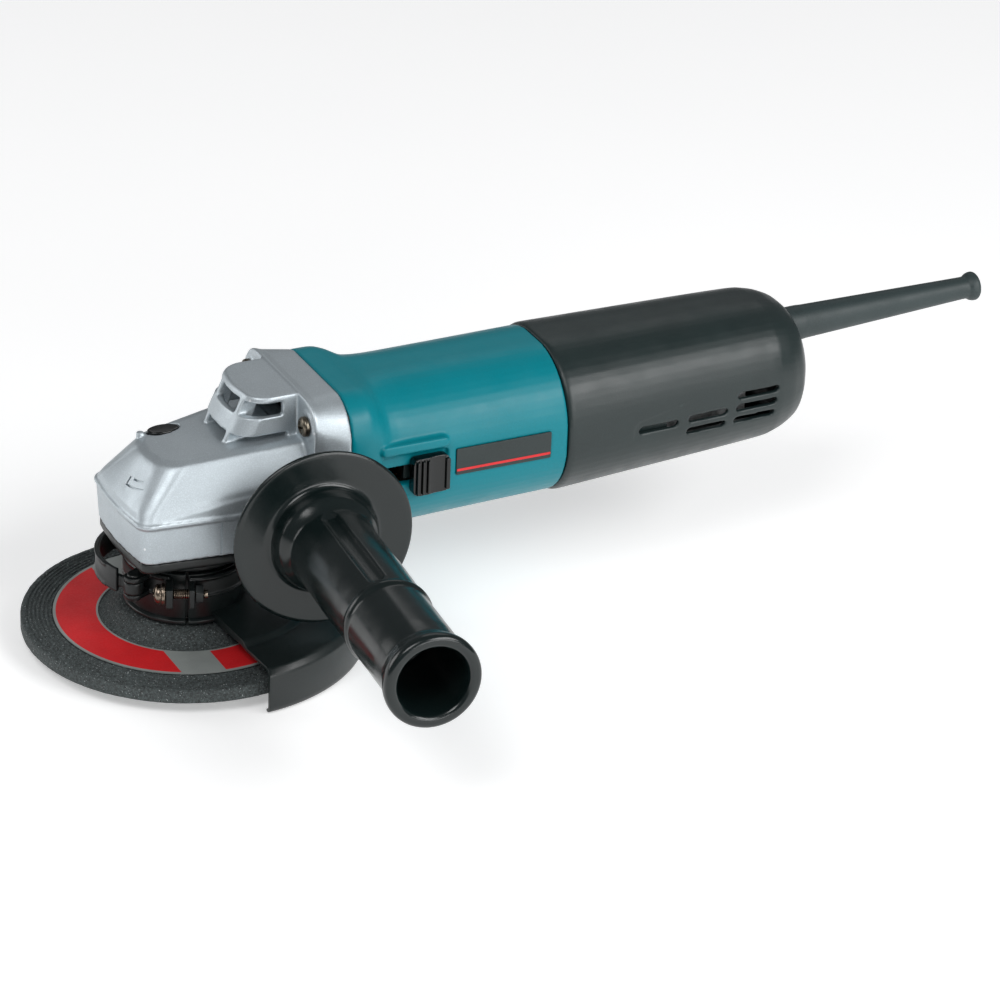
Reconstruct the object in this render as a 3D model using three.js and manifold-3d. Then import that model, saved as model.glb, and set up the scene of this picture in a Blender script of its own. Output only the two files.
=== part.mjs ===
// Angle grinder, 125 mm class, as an assembly of separate pieces. Millimetres, Z up.
// Origin: centre of the spindle's lower end. +X runs to the cord end, -Y to the side handle.
import * as THREE from 'three';
import { mergeVertices } from 'three/addons/utils/BufferGeometryUtils.js';
import Module from 'manifold-3d';

const wasm = await Module();
wasm.setup();

// ---- driving dimensions ----
const GAP = 0.3;                // running and fitting gap between neighbouring pieces
const MOTOR_Z = 65;             // height of the armature axis above the spindle end
const WHEEL_R = 62.5;           // 125 mm depressed-centre wheel
const WHEEL_T = 5.5;            // rim thickness
const HUB_TOP = 11;             // top of the wheel's raised hub
const HOUSING_Z = 41;           // underside of the gear housing
const PLATE_Z = 36.6;           // underside of the bearing retainer's plate
const FRONT_X = -28.6;          // blunt nose of the gear housing
const FLANGE = { a: 33.5, b: 31, r: 16, z: 65.5 };   // rounded square where the housings meet
const FLANGE_X0 = 37.2;         // front edge of the flange
const TOWER_TOP = 97.6;         // top of the louvre tower
const CORE_X0 = 79;             // front and rear faces of the motor's iron cores
const CORE_X1 = 127;
const JOINT_X = 52.15;          // silver housing meets the coloured motor housing
const COVER_X = 143.5;          // motor housing meets the rear cover
const TAIL_X = 254.5;           // rear end of the cover
const COVER_SCREW = { x: 162, z: 36.2 };
const GEAR_TEETH = 38;
const PINION_TEETH = 11;
const GEAR_R = 19.5;            // pitch radius of the crown gear at its outer end
const CONE = PINION_TEETH / GEAR_TEETH;
const PIN = { x: -4.35, y: 11.82, r: 2 };            // shaft-lock pin, 12.6 mm off the spindle axis
const HANDLE = { x: 35.75, y: -34.6, z: 52.9 };      // centre of the side-handle seat
const HANDLE_SWEEP = 0.0995;    // the handle leans forward, square to the flared side wall
const HANDLE_RISE = 0.03;
const GUARD_HALF = 86;          // degrees of guard each side of the tail direction
const SLIT_ANGLE = -112;        // direction of the slit in the guard's clamp band
const CLAMP_Z = 23;             // lower edge of the clamp band
const LEVER_PIVOT = { x: -26.5, y: -12.5 };
const DEG = Math.PI / 180;

// ---- solids from three geometry ----
function toSolid(geometry) {
  const bare = new THREE.BufferGeometry();
  bare.setAttribute('position', geometry.attributes.position.clone());
  if (geometry.index) bare.setIndex(geometry.index.clone());
  const welded = mergeVertices(bare, 1e-4);
  const index = welded.index.array;
  const kept = [];
  for (let i = 0; i < index.length; i += 3) {
    const [a, b, c] = [index[i], index[i + 1], index[i + 2]];
    if (a !== b && b !== c && c !== a) kept.push(a, b, c);
  }
  const vertProperties = new Float32Array(welded.attributes.position.array);
  const make = (list) => new wasm.Manifold(
    new wasm.Mesh({ numProp: 3, vertProperties, triVerts: new Uint32Array(list) }));
  const solid = make(kept);
  return solid.volume() < 0 ? make(kept.reverse()) : solid;
}

function fromSolid(solid) {
  const mesh = solid.getMesh();
  const geometry = new THREE.BufferGeometry();
  geometry.setAttribute('position', new THREE.BufferAttribute(new Float32Array(mesh.vertProperties), 3));
  geometry.setIndex(new THREE.BufferAttribute(new Uint32Array(mesh.triVerts), 1));
  return geometry;
}

const join = (...parts) => fromSolid(parts.map(toSolid).reduce((a, b) => a.add(b)));
const cut = (body, ...tools) => fromSolid(tools.map(toSolid).reduce((a, b) => a.subtract(b), toSolid(body)));
const common = (a, b) => fromSolid(toSolid(a).intersect(toSolid(b)));

// ---- shape helpers ----
function box(x0, x1, y0, y1, z0, z1) {
  return new THREE.BoxGeometry(x1 - x0, y1 - y0, z1 - z0)
    .translate((x0 + x1) / 2, (y0 + y1) / 2, (z0 + z1) / 2);
}

// Turned body about Z from [radius, height] pairs; a profile off the axis is closed on itself.
function turned(profile, segments = 24) {
  const points = profile.map(([r, z]) => new THREE.Vector2(r, z));
  if (profile[0][0] > 0) points.push(points[0].clone());
  return new THREE.LatheGeometry(points, segments).rotateX(Math.PI / 2);
}
const rod = (r, z0, z1, segments = 16) => turned([[0, z0], [r, z0], [r, z1], [0, z1]], segments);
const tube = (r0, r1, z0, z1, segments = 24) => turned([[r0, z0], [r1, z0], [r1, z1], [r0, z1]], segments);
const onMotorAxis = (geometry) => geometry.rotateY(Math.PI / 2).translate(0, 0, MOTOR_Z);

// Flat plate of any outline between two heights.
function slab(outline, z0, z1) {
  const shape = new THREE.Shape(outline.map(([x, y]) => new THREE.Vector2(x, y)));
  return new THREE.ExtrudeGeometry(shape, { depth: z1 - z0, bevelEnabled: false }).translate(0, 0, z0);
}

const polar = (r, degrees) => [r * Math.cos(degrees * DEG), r * Math.sin(degrees * DEG)];
const ring = (count, start, make) => Array.from({ length: count }, (_, i) => make(start + i * 360 / count));
const hexagon = (r) => ring(6, 0, (a) => polar(r, a));

// Part of a ring between two angles in degrees.
function sector(r0, r1, a0, a1, z0, z1, steps = 12) {
  const outline = [];
  for (let i = 0; i <= steps; i++) outline.push(polar(r1, a0 + (a1 - a0) * i / steps));
  for (let i = steps; i >= 0; i--) outline.push(polar(r0, a0 + (a1 - a0) * i / steps));
  return slab(outline, z0, z1);
}

// Skin over rings that all have the same number of points, closed by a fan at each end.
function loft(rings) {
  const count = rings[0].length;
  const vertices = rings.flat(2);
  const index = [];
  for (let k = 0; k + 1 < rings.length; k++) {
    for (let i = 0; i < count; i++) {
      const a = k * count + i;
      const b = k * count + (i + 1) % count;
      index.push(a, b, b + count, a, b + count, a + count);
    }
  }
  const addCap = (start, flip) => {
    const middle = [0, 1, 2].map((c) => {
      const ring = rings[start / count];
      return ring.reduce((sum, p) => sum + p[c], 0) / count;
    });
    const centre = vertices.length / 3;
    vertices.push(...middle);
    for (let i = 0; i < count; i++) {
      const a = start + i;
      const b = start + (i + 1) % count;
      index.push(...(flip ? [centre, b, a] : [centre, a, b]));
    }
  };
  addCap(0, true);
  addCap((rings.length - 1) * count, false);
  const geometry = new THREE.BufferGeometry();
  geometry.setAttribute('position', new THREE.Float32BufferAttribute(vertices, 3));
  geometry.setIndex(index);
  return geometry;
}

// Rounded square across the X axis at x: half width a, half height b, corner radius r, centre height z.
function section(x, a, b, r, z, steps = 5) {
  const ring = [];
  for (let q = 0; q < 4; q++) {
    const sy = q === 0 || q === 3 ? 1 : -1;
    const sz = q < 2 ? 1 : -1;
    for (let i = 0; i <= steps; i++) {
      const t = (q * 90 + i * 90 / steps) * DEG;
      ring.push([x, sy * (a - r) + r * Math.cos(t), z + sz * (b - r) + r * Math.sin(t)]);
    }
  }
  return ring;
}

// Head outline seen from above: bowed nose, two rounded corners, sides that flare to the rear.
function headOutline({ nose, half, flare, corner, rear, height, rise = 0, grow = 0 }) {
  const bow = 1.3 * half / 24;
  const cx = nose + bow + corner;
  const cy = half - corner;
  const side = [[nose - grow + bow / 4, cy / 2]];
  for (let i = 0; i <= 4; i++) {
    const t = (180 - 22.5 * i) * DEG;
    side.push([cx + (corner + grow) * Math.cos(t), cy + (corner + grow) * Math.sin(t)]);
  }
  side.push([rear, half + grow + flare * (rear - cx)]);
  const mirrored = side.map(([x, y]) => [x, -y]).reverse();
  const plan = [[nose - grow, 0], ...side, ...mirrored];
  return plan.map(([x, y]) => [x, y, height + rise * (x + 20)]).reverse();
}

// Pin-shaped slot, rounded at both ends, through the Y direction.
function slotCutter(x0, x1, z, height, y0, y1) {
  const r = height / 2;
  const shape = new THREE.Shape();
  shape.absarc(x1 - r, z, r, -Math.PI / 2, Math.PI / 2, false);
  shape.absarc(x0 + r, z, r, Math.PI / 2, 1.5 * Math.PI, false);
  return new THREE.ExtrudeGeometry(shape, { depth: y1 - y0, bevelEnabled: false, curveSegments: 2 })
    .rotateX(Math.PI / 2).translate(0, y1, 0);
}

// ---- materials ----
function paint(color, roughness, metalness = 0) {
  return new THREE.MeshStandardMaterial({ color, roughness, metalness });
}
const SILVER = paint('#b4bcc2', 0.42, 0.7);
const TEAL = paint('#0b7f8e', 0.38);
const BLACK = paint('#2b3233', 0.5);
const GLOSS_BLACK = paint('#15191a', 0.25);
const BLACK_STEEL = paint('#202526', 0.35, 0.6);
const STEEL = paint('#a8a9a8', 0.3, 1);
const ALUMINIUM = paint('#b9bcbe', 0.5, 1);
const DARK_STEEL = paint('#5a544e', 0.4, 0.9);
const BRASS = paint('#c0994a', 0.35, 1);
const COPPER = paint('#b0602a', 0.35, 0.9);
const CARBON = paint('#262626', 0.8);
const ABRASIVE = paint('#3a4140', 0.95);
const LABEL_RED = paint('#c92a2c', 0.5);
const RUBBER = paint('#333b3c', 0.7);
const WHITE_PLASTIC = paint('#d8d4c8', 0.5);

const grinder = new THREE.Group();
grinder.name = 'angle_grinder';
function add(name, geometry, material, parent = grinder) {
  const clean = toSolid(geometry).asOriginal().simplify(0.02);
  const plain = fromSolid(clean).toNonIndexed();
  plain.computeVertexNormals();
  const mesh = new THREE.Mesh(plain, material);
  mesh.name = name;
  parent.add(mesh);
  return mesh;
}

// Body turned about the handle's own axis, which is local Z.
const handleAxis = new THREE.Vector3(-HANDLE_SWEEP, -1, HANDLE_RISE).normalize();
function onHandleAxis(geometry, side = -1) {
  const axis = new THREE.Vector3(handleAxis.x, side * -handleAxis.y, handleAxis.z);
  const turn = new THREE.Quaternion().setFromUnitVectors(new THREE.Vector3(0, 0, 1), axis);
  return geometry.applyQuaternion(turn).translate(HANDLE.x, -side * HANDLE.y, HANDLE.z);
}

// ---- gear housing ----
function headShell() {
  const level = (nose, half, flare, height, rise = 0, corner = 5, grow = 0) =>
    headOutline({ nose, half, flare, corner, rear: 46, height, rise, grow });
  return loft([
    level(FRONT_X, 24, 0.1, HOUSING_Z),
    level(FRONT_X - 1, 24.4, 0.1, 55.8),
    level(FRONT_X - 1, 24.4, 0.1, 56.2, 0, 5, 0.8),
    level(FRONT_X - 1, 24.4, 0.1, 57.6, 0, 5, 0.8),
    level(FRONT_X - 0.8, 24.2, 0.1, 58),
    level(FRONT_X - 0.4, 22.6, 0.14, 60.8, 0.16),
    level(FRONT_X + 1, 22, 0.14, 62.4, 0.155),
    level(-18.6, 17, 0.155, 74.4, 0.105, 6),
    level(-17.2, 16, 0.155, 75.2, 0.1, 6),
  ]);
}

function towerOutline(nose, half, height, rear = 46, rise = 0) {
  return headOutline({ nose, half, flare: 0, corner: 9, rear, height, rise });
}

// Two-tier louvre tower behind the shaft-lock button, hollow, held up by slanted struts.
function louvreTower() {
  const top = TOWER_TOP;
  const outer = loft([
    towerOutline(8.2, 17.4, 75.5, 40),
    towerOutline(17, 16.7, top - 2, 40),
    towerOutline(18, 16.5, top, 40),
  ]);
  const hollow = loft([towerOutline(11.4, 14.8, 79.2, 60), towerOutline(19.4, 14.2, top - 2.2, 60)]);
  const shell = cut(outer, hollow);
  const lower = loft([towerOutline(0, 25, 75.5 + 0.9, 33.4, 0.1), towerOutline(0, 25, 82.8, 33.4)]);
  const upper = loft([towerOutline(0, 25, 89.4, 31.4), towerOutline(0, 25, top - 2.6, 31.4)]);
  const depth = cut(outer, loft([towerOutline(13.6, 14.8, 70, 60), towerOutline(23.4, 14.2, top, 60)]));
  const struts = [-9, 9].map((y) => common(box(5, 30, y - 1.1, y + 1.1, 70, top), depth));
  return join(cut(shell, lower, upper), ...struts);
}

function ovalPocket(halfLength, halfWidth, z0, z1) {
  const outline = Array.from({ length: 16 }, (_, i) => {
    const t = i * 22.5 * DEG;
    return [PIN.x + halfLength * Math.cos(t), PIN.y + 1 + halfWidth * Math.sin(t)];
  });
  return slab(outline, z0, z1);
}

function gearHousing() {
  const flange = loft([
    section(FLANGE_X0, 32.4, 31.1, 10.5, 66.3),
    section(FLANGE_X0 + 0.7, 33, 31.8, 11, 66.3),
    section(41, FLANGE.a, 31.4, 12.5, 65.9),
    section(JOINT_X, FLANGE.a, FLANGE.b, FLANGE.r, FLANGE.z),
  ]);
  const seats = [-1, 1].map((side) =>
    onHandleAxis(turned([[0, -14], [12, -14], [10.6, 0], [0, 0]], 16), side));
  const nub = rod(1.6, 73, 77.4, 8).translate(-13.5, 13, 0);
  const pads = rodsAtScrews(5.2, 36.6, 38);
  const body = join(headShell(), flange, ...seats, nub, ...pads);
  const tapped = [-1, 1].map((side) => onHandleAxis(rod(4.3, -15.5, 1, 14), side));
  const gearRoom = turned([[0, 30], [21.4, 30], [21.4, 62.4], [11, 62.4], [7.3, 63.6], [7.3, 73.6],
    [0, 73.6]]);
  const pinionRoom = onMotorAxis(turned([[0, 3], [8.2, 3], [8.2, 27.7], [13.3, 27.7], [13.3, 36.3], [9, 36.3],
    [9, 42], [25.8, 42], [25.8, 60], [0, 60]]));
  const screwHoles = rodsAtScrews(2.8, 30, 60);
  const airWay = box(34, 44, -12, 12, 80, 90);
  const screwAccess = rodsAtScrews(4.4, 27, 36.6).slice(2);
  const pinHole = rod(PIN.r + 0.3, 55, 70, 12).translate(PIN.x, PIN.y, 0);
  const buttonRoom = join(ovalPocket(6.6, 3.8, 68.7, 90), pinHole);
  const plateHoles = plateScrewPlaces().map(([x, y]) => rod(2.4, 30, 52, 8).translate(x, y, 0));
  const arrow = [[29.5, 30.4, 184, 206], [26.5, 27.4, 190, 203], [26.5, 29.6, 184, 186]]
    .map(([r0, r1, a0, a1]) => sector(r0, r1, a0, a1, -0.9, 1.5, 3)
      .rotateY(-56 * DEG).translate(-8.3, 0, 89.6));
  const solid = cut(body, ...tapped, gearRoom, pinionRoom, airWay, ...screwHoles, ...screwAccess,
    buttonRoom, ...plateHoles, ...arrow);
  return join(solid, cut(louvreTower(), pinionRoom, airWay));
}

const screwPlaces = () => [[-26.6, 88.6], [26.6, 88.6], [-26, 44.2], [26, 44.2]];
const rodsAtScrews = (r, x0, x1) => screwPlaces().map(([y, z]) =>
  rod(r, x0, x1, 10).rotateY(Math.PI / 2).translate(0, y, z));
const plateScrewPlaces = () => [[-22, -15.5], [-22, 15.5], [23, -20], [23, 20]];

function machineScrew(headR, headH, shankR, length, slot = 1) {
  const head = turned([[0, -length], [shankR, -length], [shankR, 0], [headR, 0],
    [headR, headH * 0.6], [headR * 0.7, headH], [0, headH]], 8);
  const arm = headR * 0.6;
  const cross = [0, 90].map((a) =>
    box(-arm, arm, -slot / 2, slot / 2, headH * 0.45, headH + 1).rotateZ(a * DEG));
  return cut(head, ...cross);
}

add('gear_housing', gearHousing(), SILVER);
screwPlaces().forEach(([y, z], i) => {
  const screw = machineScrew(3.9, 2.6, 2.5, 23).rotateY(-Math.PI / 2);
  add(`housing_screw_${i + 1}`, screw, DARK_STEEL).position.set(36.3, y, z);
});

// ---- bearing retainer under the gear housing ----
function bearingRetainer() {
  const outline = (grow, height) => headOutline({
    nose: FRONT_X, half: 24, flare: 0.1, corner: 5, rear: 32, height, grow });
  const plate = loft([outline(-0.9, PLATE_Z), outline(-0.3, PLATE_Z + 0.8), outline(-0.3, HOUSING_Z - GAP)]);
  const neck = rod(20, 13, PLATE_Z + 1, 28);
  const bore = turned([[0, 10], [18, 10], [18, 20.4], [9.7, 20.4], [9.7, 22.6], [16.3, 22.6],
    [16.3, 45], [0, 45]]);
  const holes = plateScrewPlaces().map(([x, y]) => rod(2.7, 30, 45, 8).translate(x, y, 0));
  return cut(join(plate, neck), bore, ...holes);
}
add('bearing_retainer', bearingRetainer(), BLACK_STEEL);
plateScrewPlaces().forEach(([x, y], i) => {
  const screw = machineScrew(3.6, 2.6, 2, 13).rotateX(Math.PI);
  add(`retainer_screw_${i + 1}`, screw, DARK_STEEL).position.set(x, y, PLATE_Z - GAP);
});

// ---- spindle, its bearings and the crown gear ----
add('spindle', turned([[0, 0], [6.2, 0], [7, 0.8], [7, 14], [9.2, 17], [9.2, 24.2],
  [6, 24.2], [6, 59], [4, 60], [4, 72.4], [0, 72.4]], 24), STEEL);
add('spindle_bearing_outer', turned([[12.7, 23], [16, 23], [16, 33], [12.7, 33], [12.7, 30.6],
  [13.6, 28], [12.7, 25.4]]), STEEL);
add('spindle_bearing_inner', turned([[6.3, 24.6], [9, 24.6], [9, 25.6], [8.2, 28], [9, 30.4], [9, 33],
  [6.3, 33]], 20), STEEL);
function ballCage(balls, pitch, ballR, z) {
  const ringBody = tube(pitch - 0.7, pitch + 0.7, z - 0.7, z + 0.7, 14);
  const placed = ring(balls, 0, (a) => {
    const [x, y] = polar(pitch, a);
    return new THREE.OctahedronGeometry(ballR, 1).translate(x, y, z);
  });
  return join(ringBody, ...placed);
}
add('spindle_bearing_balls', ballCage(6, 10.9, 2, 28), STEEL);
add('spindle_top_bearing', tube(4.3, 7, 63.8, 73, 20), STEEL);

// Both gears have straight teeth that run to the point where the two axes meet.
// A tooth is four corners: two on its tip, two in the gap that follows.
const TOOTH = { tip: 0.15, root: 0.35, addendum: 0.55, dedendum: 0.85 };
function toothCorners(teeth) {
  return Array.from({ length: teeth }, (_, i) => [
    [i - TOOTH.tip, TOOTH.addendum],
    [i + TOOTH.tip, TOOTH.addendum],
    [i + TOOTH.root, -TOOTH.dedendum],
    [i + 1 - TOOTH.root, -TOOTH.dedendum],
  ]).flat().map(([place, height]) => [place * 2 * Math.PI / teeth, height]);
}

function crownGear() {
  const half = Math.PI / GEAR_TEETH;
  const corners = toothCorners(GEAR_TEETH).map(([t, height]) => [t + half, height]);
  const flat = (r, z) => corners.map(([t]) => [r * Math.cos(t), r * Math.sin(t), z]);
  const toothed = (r) => corners.map(([t, height]) =>
    [r * Math.cos(t), r * Math.sin(t), MOTOR_Z - CONE * r + height * r / GEAR_R]);
  const teeth = loft([flat(20.2, 55.4), toothed(20.2), toothed(15.4), flat(15.2, 58.3)]);
  const hub = turned([[0, 50], [9.5, 50], [18, 55.8], [0, 55.8]], 20);
  const locks = ring(4, Math.atan2(PIN.y, PIN.x) / DEG, (a) =>
    rod(PIN.r + 0.4, 45, 62, 12).translate(...polar(12.6, a), 0));
  return cut(join(teeth, hub), rod(6.2, 40, 70, 24), ...locks);
}
add('drive_gear', crownGear(), STEEL);

// ---- grinding wheel and what holds it ----
function grindingWheel() {
  return turned([[11.15, 5.3], [20, 5.3], [27, 0], [WHEEL_R, 0], [WHEEL_R, WHEEL_T - 0.6],
    [WHEEL_R - 0.8, WHEEL_T], [33, WHEEL_T], [30, 6.6], [25.5, 10.2], [22.5, HUB_TOP], [11.15, HUB_TOP]], 40);
}
add('grinding_wheel', grindingWheel(), ABRASIVE);
add('wheel_label', tube(33.2, 50.3, WHEEL_T + 0.15, WHEEL_T + 0.5, 40), LABEL_RED);
add('inner_flange', turned([[7.4, HUB_TOP + GAP], [17.5, HUB_TOP + GAP], [17.5, 14.2], [13, 19.2],
  [9.7, 19.2], [9.7, 17.3], [7.4, 14.2]]), STEEL);
function lockNut() {
  const body = turned([[7.3, 0.7], [15.5, 0.7], [17, 1.6], [17, 5], [10.8, 5], [10.8, 8.4], [7.3, 8.4]], 20);
  return cut(body, ...ring(4, 0, (a) => rod(2.3, 0, 3.4, 8).translate(...polar(12, a), 0)));
}
add('lock_nut', lockNut(), DARK_STEEL);

// ---- wheel guard, its clamp band, screw, nut and lever ----
function wheelGuard() {
  const profile = [[20.9, 12], [46, 12.6], [48, 12], [65.8, 12], [67.4, 10.4], [67.4, -3.4], [65.2, -3.9],
    [65.6, -5], [67.4, -5], [68.6, -3.9], [68.7, 11], [66.6, 13.4], [49, 13.4], [46.8, 15.2], [20.9, 15.8]];
  const hood = common(turned(profile, 40), sector(1, 80, -GUARD_HALF, GUARD_HALF, -10, 40, 6));
  const neck = tube(20.4, 22.2, 12, CLAMP_Z + 9.4, 36);
  const slit = box(15, 30, -0.5, 0.5, 5, 40).rotateZ(SLIT_ANGLE * DEG);
  return cut(join(neck, hood), slit);
}

const BAND = { r0: 22.5, r1: 24, z0: CLAMP_Z, z1: CLAMP_Z + 8.8 };
function guardBand() {
  const strip = sector(BAND.r0, BAND.r1, SLIT_ANGLE + 2, SLIT_ANGLE + 344, BAND.z0, BAND.z1, 30);
  const lugs = [[-8, -5.3], [0.6, 2.8]].map(([y0, y1]) =>
    box(BAND.r0 - 1, 32, y0, y1, BAND.z0, BAND.z1 - 1).rotateZ(SLIT_ANGLE * DEG));
  const screwHole = rod(2.4, -10, 10, 10).rotateX(Math.PI / 2)
    .translate(28, 0, CLAMP_Z + 4.4).rotateZ(SLIT_ANGLE * DEG);
  const ear = (z0, z1) => {
    const reach = Math.hypot(LEVER_PIVOT.x, LEVER_PIVOT.y);
    const end = rod(3.6, z0, z1, 12).translate(reach, 0, 0);
    const arm = join(box(BAND.r0 + 0.3, reach, -3.6, 3.6, z0, z1), end);
    const hole = rod(1.9, z0 - 1, z1 + 1, 8).translate(reach, 0, 0);
    return cut(arm, hole).rotateZ(Math.atan2(LEVER_PIVOT.y, LEVER_PIVOT.x));
  };
  const away = rod(BAND.r0 - 0.02, 0, 60, 36);
  const ears = [ear(BAND.z0, BAND.z0 + 1.8), ear(BAND.z1 - 1.8, BAND.z1)];
  return cut(join(strip, ...lugs, ...ears), away, screwHole);
}

function clampLever() {
  const low = CLAMP_Z + 2.1;
  const high = CLAMP_Z + 6.7;
  const arc = sector(24.1, 25.7, 115, 204, CLAMP_Z + 0.4, CLAMP_Z + 10, 10).translate(-8, 3, 0);
  const hook = box(-3.2, 6, -0.9, 0.9, low, high).rotateZ(118 * DEG)
    .translate(LEVER_PIVOT.x - 1.2, LEVER_PIVOT.y + 3, 0);
  const eye = rod(3.7, low, high, 14).translate(LEVER_PIVOT.x, LEVER_PIVOT.y, 0);
  const [tipX, tipY] = polar(24.9, 115);
  const tip = rod(1.5, CLAMP_Z + 0.4, CLAMP_Z + 10, 10).translate(tipX - 8, tipY + 3, 0);
  const bore = rod(1.9, 15, 40, 10).translate(LEVER_PIVOT.x, LEVER_PIVOT.y, 0);
  return cut(join(arc, hook, eye, tip), bore);
}

add('wheel_guard', wheelGuard(), GLOSS_BLACK);
add('guard_band', guardBand(), BLACK_STEEL);
add('lever_pin', turned([[0, -0.8], [2.8, -0.8], [2.8, -0.3], [1.6, -0.3], [1.6, 9.1], [2.6, 9.1],
  [2.2, 9.8], [0, 9.8]], 10), DARK_STEEL).position.set(LEVER_PIVOT.x, LEVER_PIVOT.y, CLAMP_Z);
add('clamp_lever', clampLever(), BLACK_STEEL);

// The clamp screw lies across the slit, along the band's tangent.
const clampGroup = new THREE.Group();
clampGroup.name = 'clamp';
clampGroup.position.set(...polar(28, SLIT_ANGLE), CLAMP_Z + 4.4);
clampGroup.rotation.set(0, -Math.PI / 2, SLIT_ANGLE * DEG + Math.PI / 2, 'ZYX');
grinder.add(clampGroup);
add('clamp_screw', machineScrew(3.8, 2.8, 2, 17.5).translate(0, 0, 9.9), STEEL, clampGroup);
add('clamp_washer', tube(2.3, 4.2, 8.3, 9.6, 14), STEEL, clampGroup);
add('clamp_nut', cut(slab(hexagon(3.7), -6, -3.1), rod(2.25, -20, 20, 10)), STEEL, clampGroup);

// ---- shaft lock ----
add('shaft_lock_pin', turned([[0, 59.2], [1.4, 59.2], [PIN.r, 59.9], [PIN.r, 67],
  [1.3, 67.6], [1.3, 76], [0, 76]], 12), STEEL)
  .position.set(PIN.x, PIN.y, 0);
add('shaft_lock_button', cut(ovalPocket(6.3, 3.5, 73.4, 77.4), rod(2.05, 70, 76.3, 12)
  .translate(PIN.x, PIN.y, 0)), BLACK);
// Drawn at its pressed length, so that the button can go down over it.
function coil(radius, wire, z0, z1, turns) {
  const points = Array.from({ length: turns * 8 + 1 }, (_, i) => {
    const t = i / (turns * 8);
    return new THREE.Vector3(...polar(radius, t * turns * 360), z0 + (z1 - z0) * t);
  });
  const circle = new THREE.Shape(ring(4, 0, (a) => new THREE.Vector2(...polar(wire, a))));
  const path = new THREE.CatmullRomCurve3(points);
  return new THREE.ExtrudeGeometry(circle, { steps: turns * 8, extrudePath: path, bevelEnabled: false });
}
add('shaft_lock_spring', coil(1.6, 0.18, 69.2, 72.9, 3), STEEL).position.set(PIN.x, PIN.y, 0);

// ---- armature ----
add('armature_shaft', onMotorAxis(turned([[0, 8.8], [2.9, 8.8], [2.9, 13.7], [3.8, 13.9], [3.8, 27],
  [5, 27.2], [5, 156], [3.5, 157], [3.5, 168], [0, 168]], 20)), STEEL);

function pinion() {
  const rings = [14.4, 20.6].map((x) => toothCorners(PINION_TEETH).map(([t, height]) => {
    const r = CONE * x + height * x / GEAR_R;
    return [x, r * Math.sin(t), MOTOR_Z - r * Math.cos(t)];
  }));
  const collar = onMotorAxis(rod(6.2, 20.5, 26.6, 20));
  return cut(join(loft(rings), collar), onMotorAxis(rod(4.05, 0, 40, 16)));
}
add('pinion', pinion(), STEEL);
add('pinion_nut', onMotorAxis(cut(slab(hexagon(5.2), 9.6, 13.5), rod(3.15, 0, 20, 20))), STEEL);

const bearing = (name, r0, r1, r2, r3, x0, x1) => {
  add(`${name}_outer`, onMotorAxis(turned([[r2, x0], [r3, x0], [r3, x1], [r2, x1], [r2, x1 - 1],
    [r2 + 0.8, (x0 + x1) / 2], [r2, x0 + 1]], 20)), STEEL);
  add(`${name}_inner`, onMotorAxis(turned([[r0, x0], [r1, x0], [r1, x0 + 1], [r1 - 0.8, (x0 + x1) / 2],
    [r1, x1 - 1], [r1, x1], [r0, x1]], 16)), STEEL);
};
bearing('front_bearing', 5.2, 7.8, 10.4, 13, 28, 36);
bearing('rear_bearing', 3.7, 5.6, 8.4, 11, 159, 166);

function fan() {
  const hub = turned([[5.3, 54.6], [8.4, 54.6], [9, 62.6], [24, 64], [24, 65.2], [5.3, 65.2]]);
  const blades = ring(10, 8, (a) => box(9.4, 24, -0.6, 0.6, 55.2, 63.8).rotateZ(a * DEG));
  return onMotorAxis(join(hub, ...blades));
}
add('fan', fan(), WHITE_PLASTIC);

const SLOTS = 12;
const coreSlots = ring(SLOTS, 15, (a) => sector(8.3, 14.5, a - 8.6, a + 8.6, 60, 140, 1));
add('armature_core', onMotorAxis(cut(tube(5.3, 16, CORE_X0, CORE_X1, 24), ...coreSlots)), DARK_STEEL);
function armatureWindings() {
  const overhang = (x0, x1, taper) =>
    turned([[7, x0], [taper, x0], [14.2, (x0 + x1) / 2], [14.2, x1], [7, x1]], 16);
  const bars = ring(SLOTS, 15, (a) => sector(8.8, 14, a - 7.4, a + 7.4, CORE_X0 - 2, CORE_X1 + 2, 1));
  return onMotorAxis(join(overhang(CORE_X0 - 7.4, CORE_X0 - 0.4, 11),
    overhang(CORE_X1 + 0.4, CORE_X1 + 7.4, 14), ...bars));
}
add('armature_windings', armatureWindings(), COPPER);
function commutator() {
  const body = turned([[5.3, 136], [12.6, 136], [12.6, 138], [11, 138], [11, 153], [5.3, 153]], 24);
  return onMotorAxis(cut(body, ...ring(12, 7.5, (a) => box(10.2, 14, -0.3, 0.3, 138, 160).rotateZ(a * DEG))));
}
add('commutator', commutator(), COPPER);

// ---- stator, brushes ----
const COIL_SIDES = [0, 180].flatMap((pole) => [pole - 55, pole + 55]);
add('stator_core', onMotorAxis(cut(tube(16.8, 27, CORE_X0, CORE_X1, 32),
  ...COIL_SIDES.map((a) => sector(17.8, 23.7, a - 9, a + 9, 60, 140, 2)),
  ...COIL_SIDES.map((a) => sector(16, 18.2, a - 5, a + 5, 60, 140, 1)))), DARK_STEEL);
const fieldCoil = (pole) => onMotorAxis(join(
  sector(18.2, 23.3, pole - 62, pole - 48, CORE_X0 - 7, CORE_X1 + 7, 2),
  sector(18.2, 23.3, pole + 48, pole + 62, CORE_X0 - 7, CORE_X1 + 7, 2),
  sector(18.2, 23.3, pole - 62, pole + 62, CORE_X0 - 7, CORE_X0 - 0.5, 10),
  sector(18.2, 23.3, pole - 62, pole + 62, CORE_X1 + 0.5, CORE_X1 + 7, 10),
));
add('field_coil_upper', fieldCoil(180), COPPER);
add('field_coil_lower', fieldCoil(0), COPPER);

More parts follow.
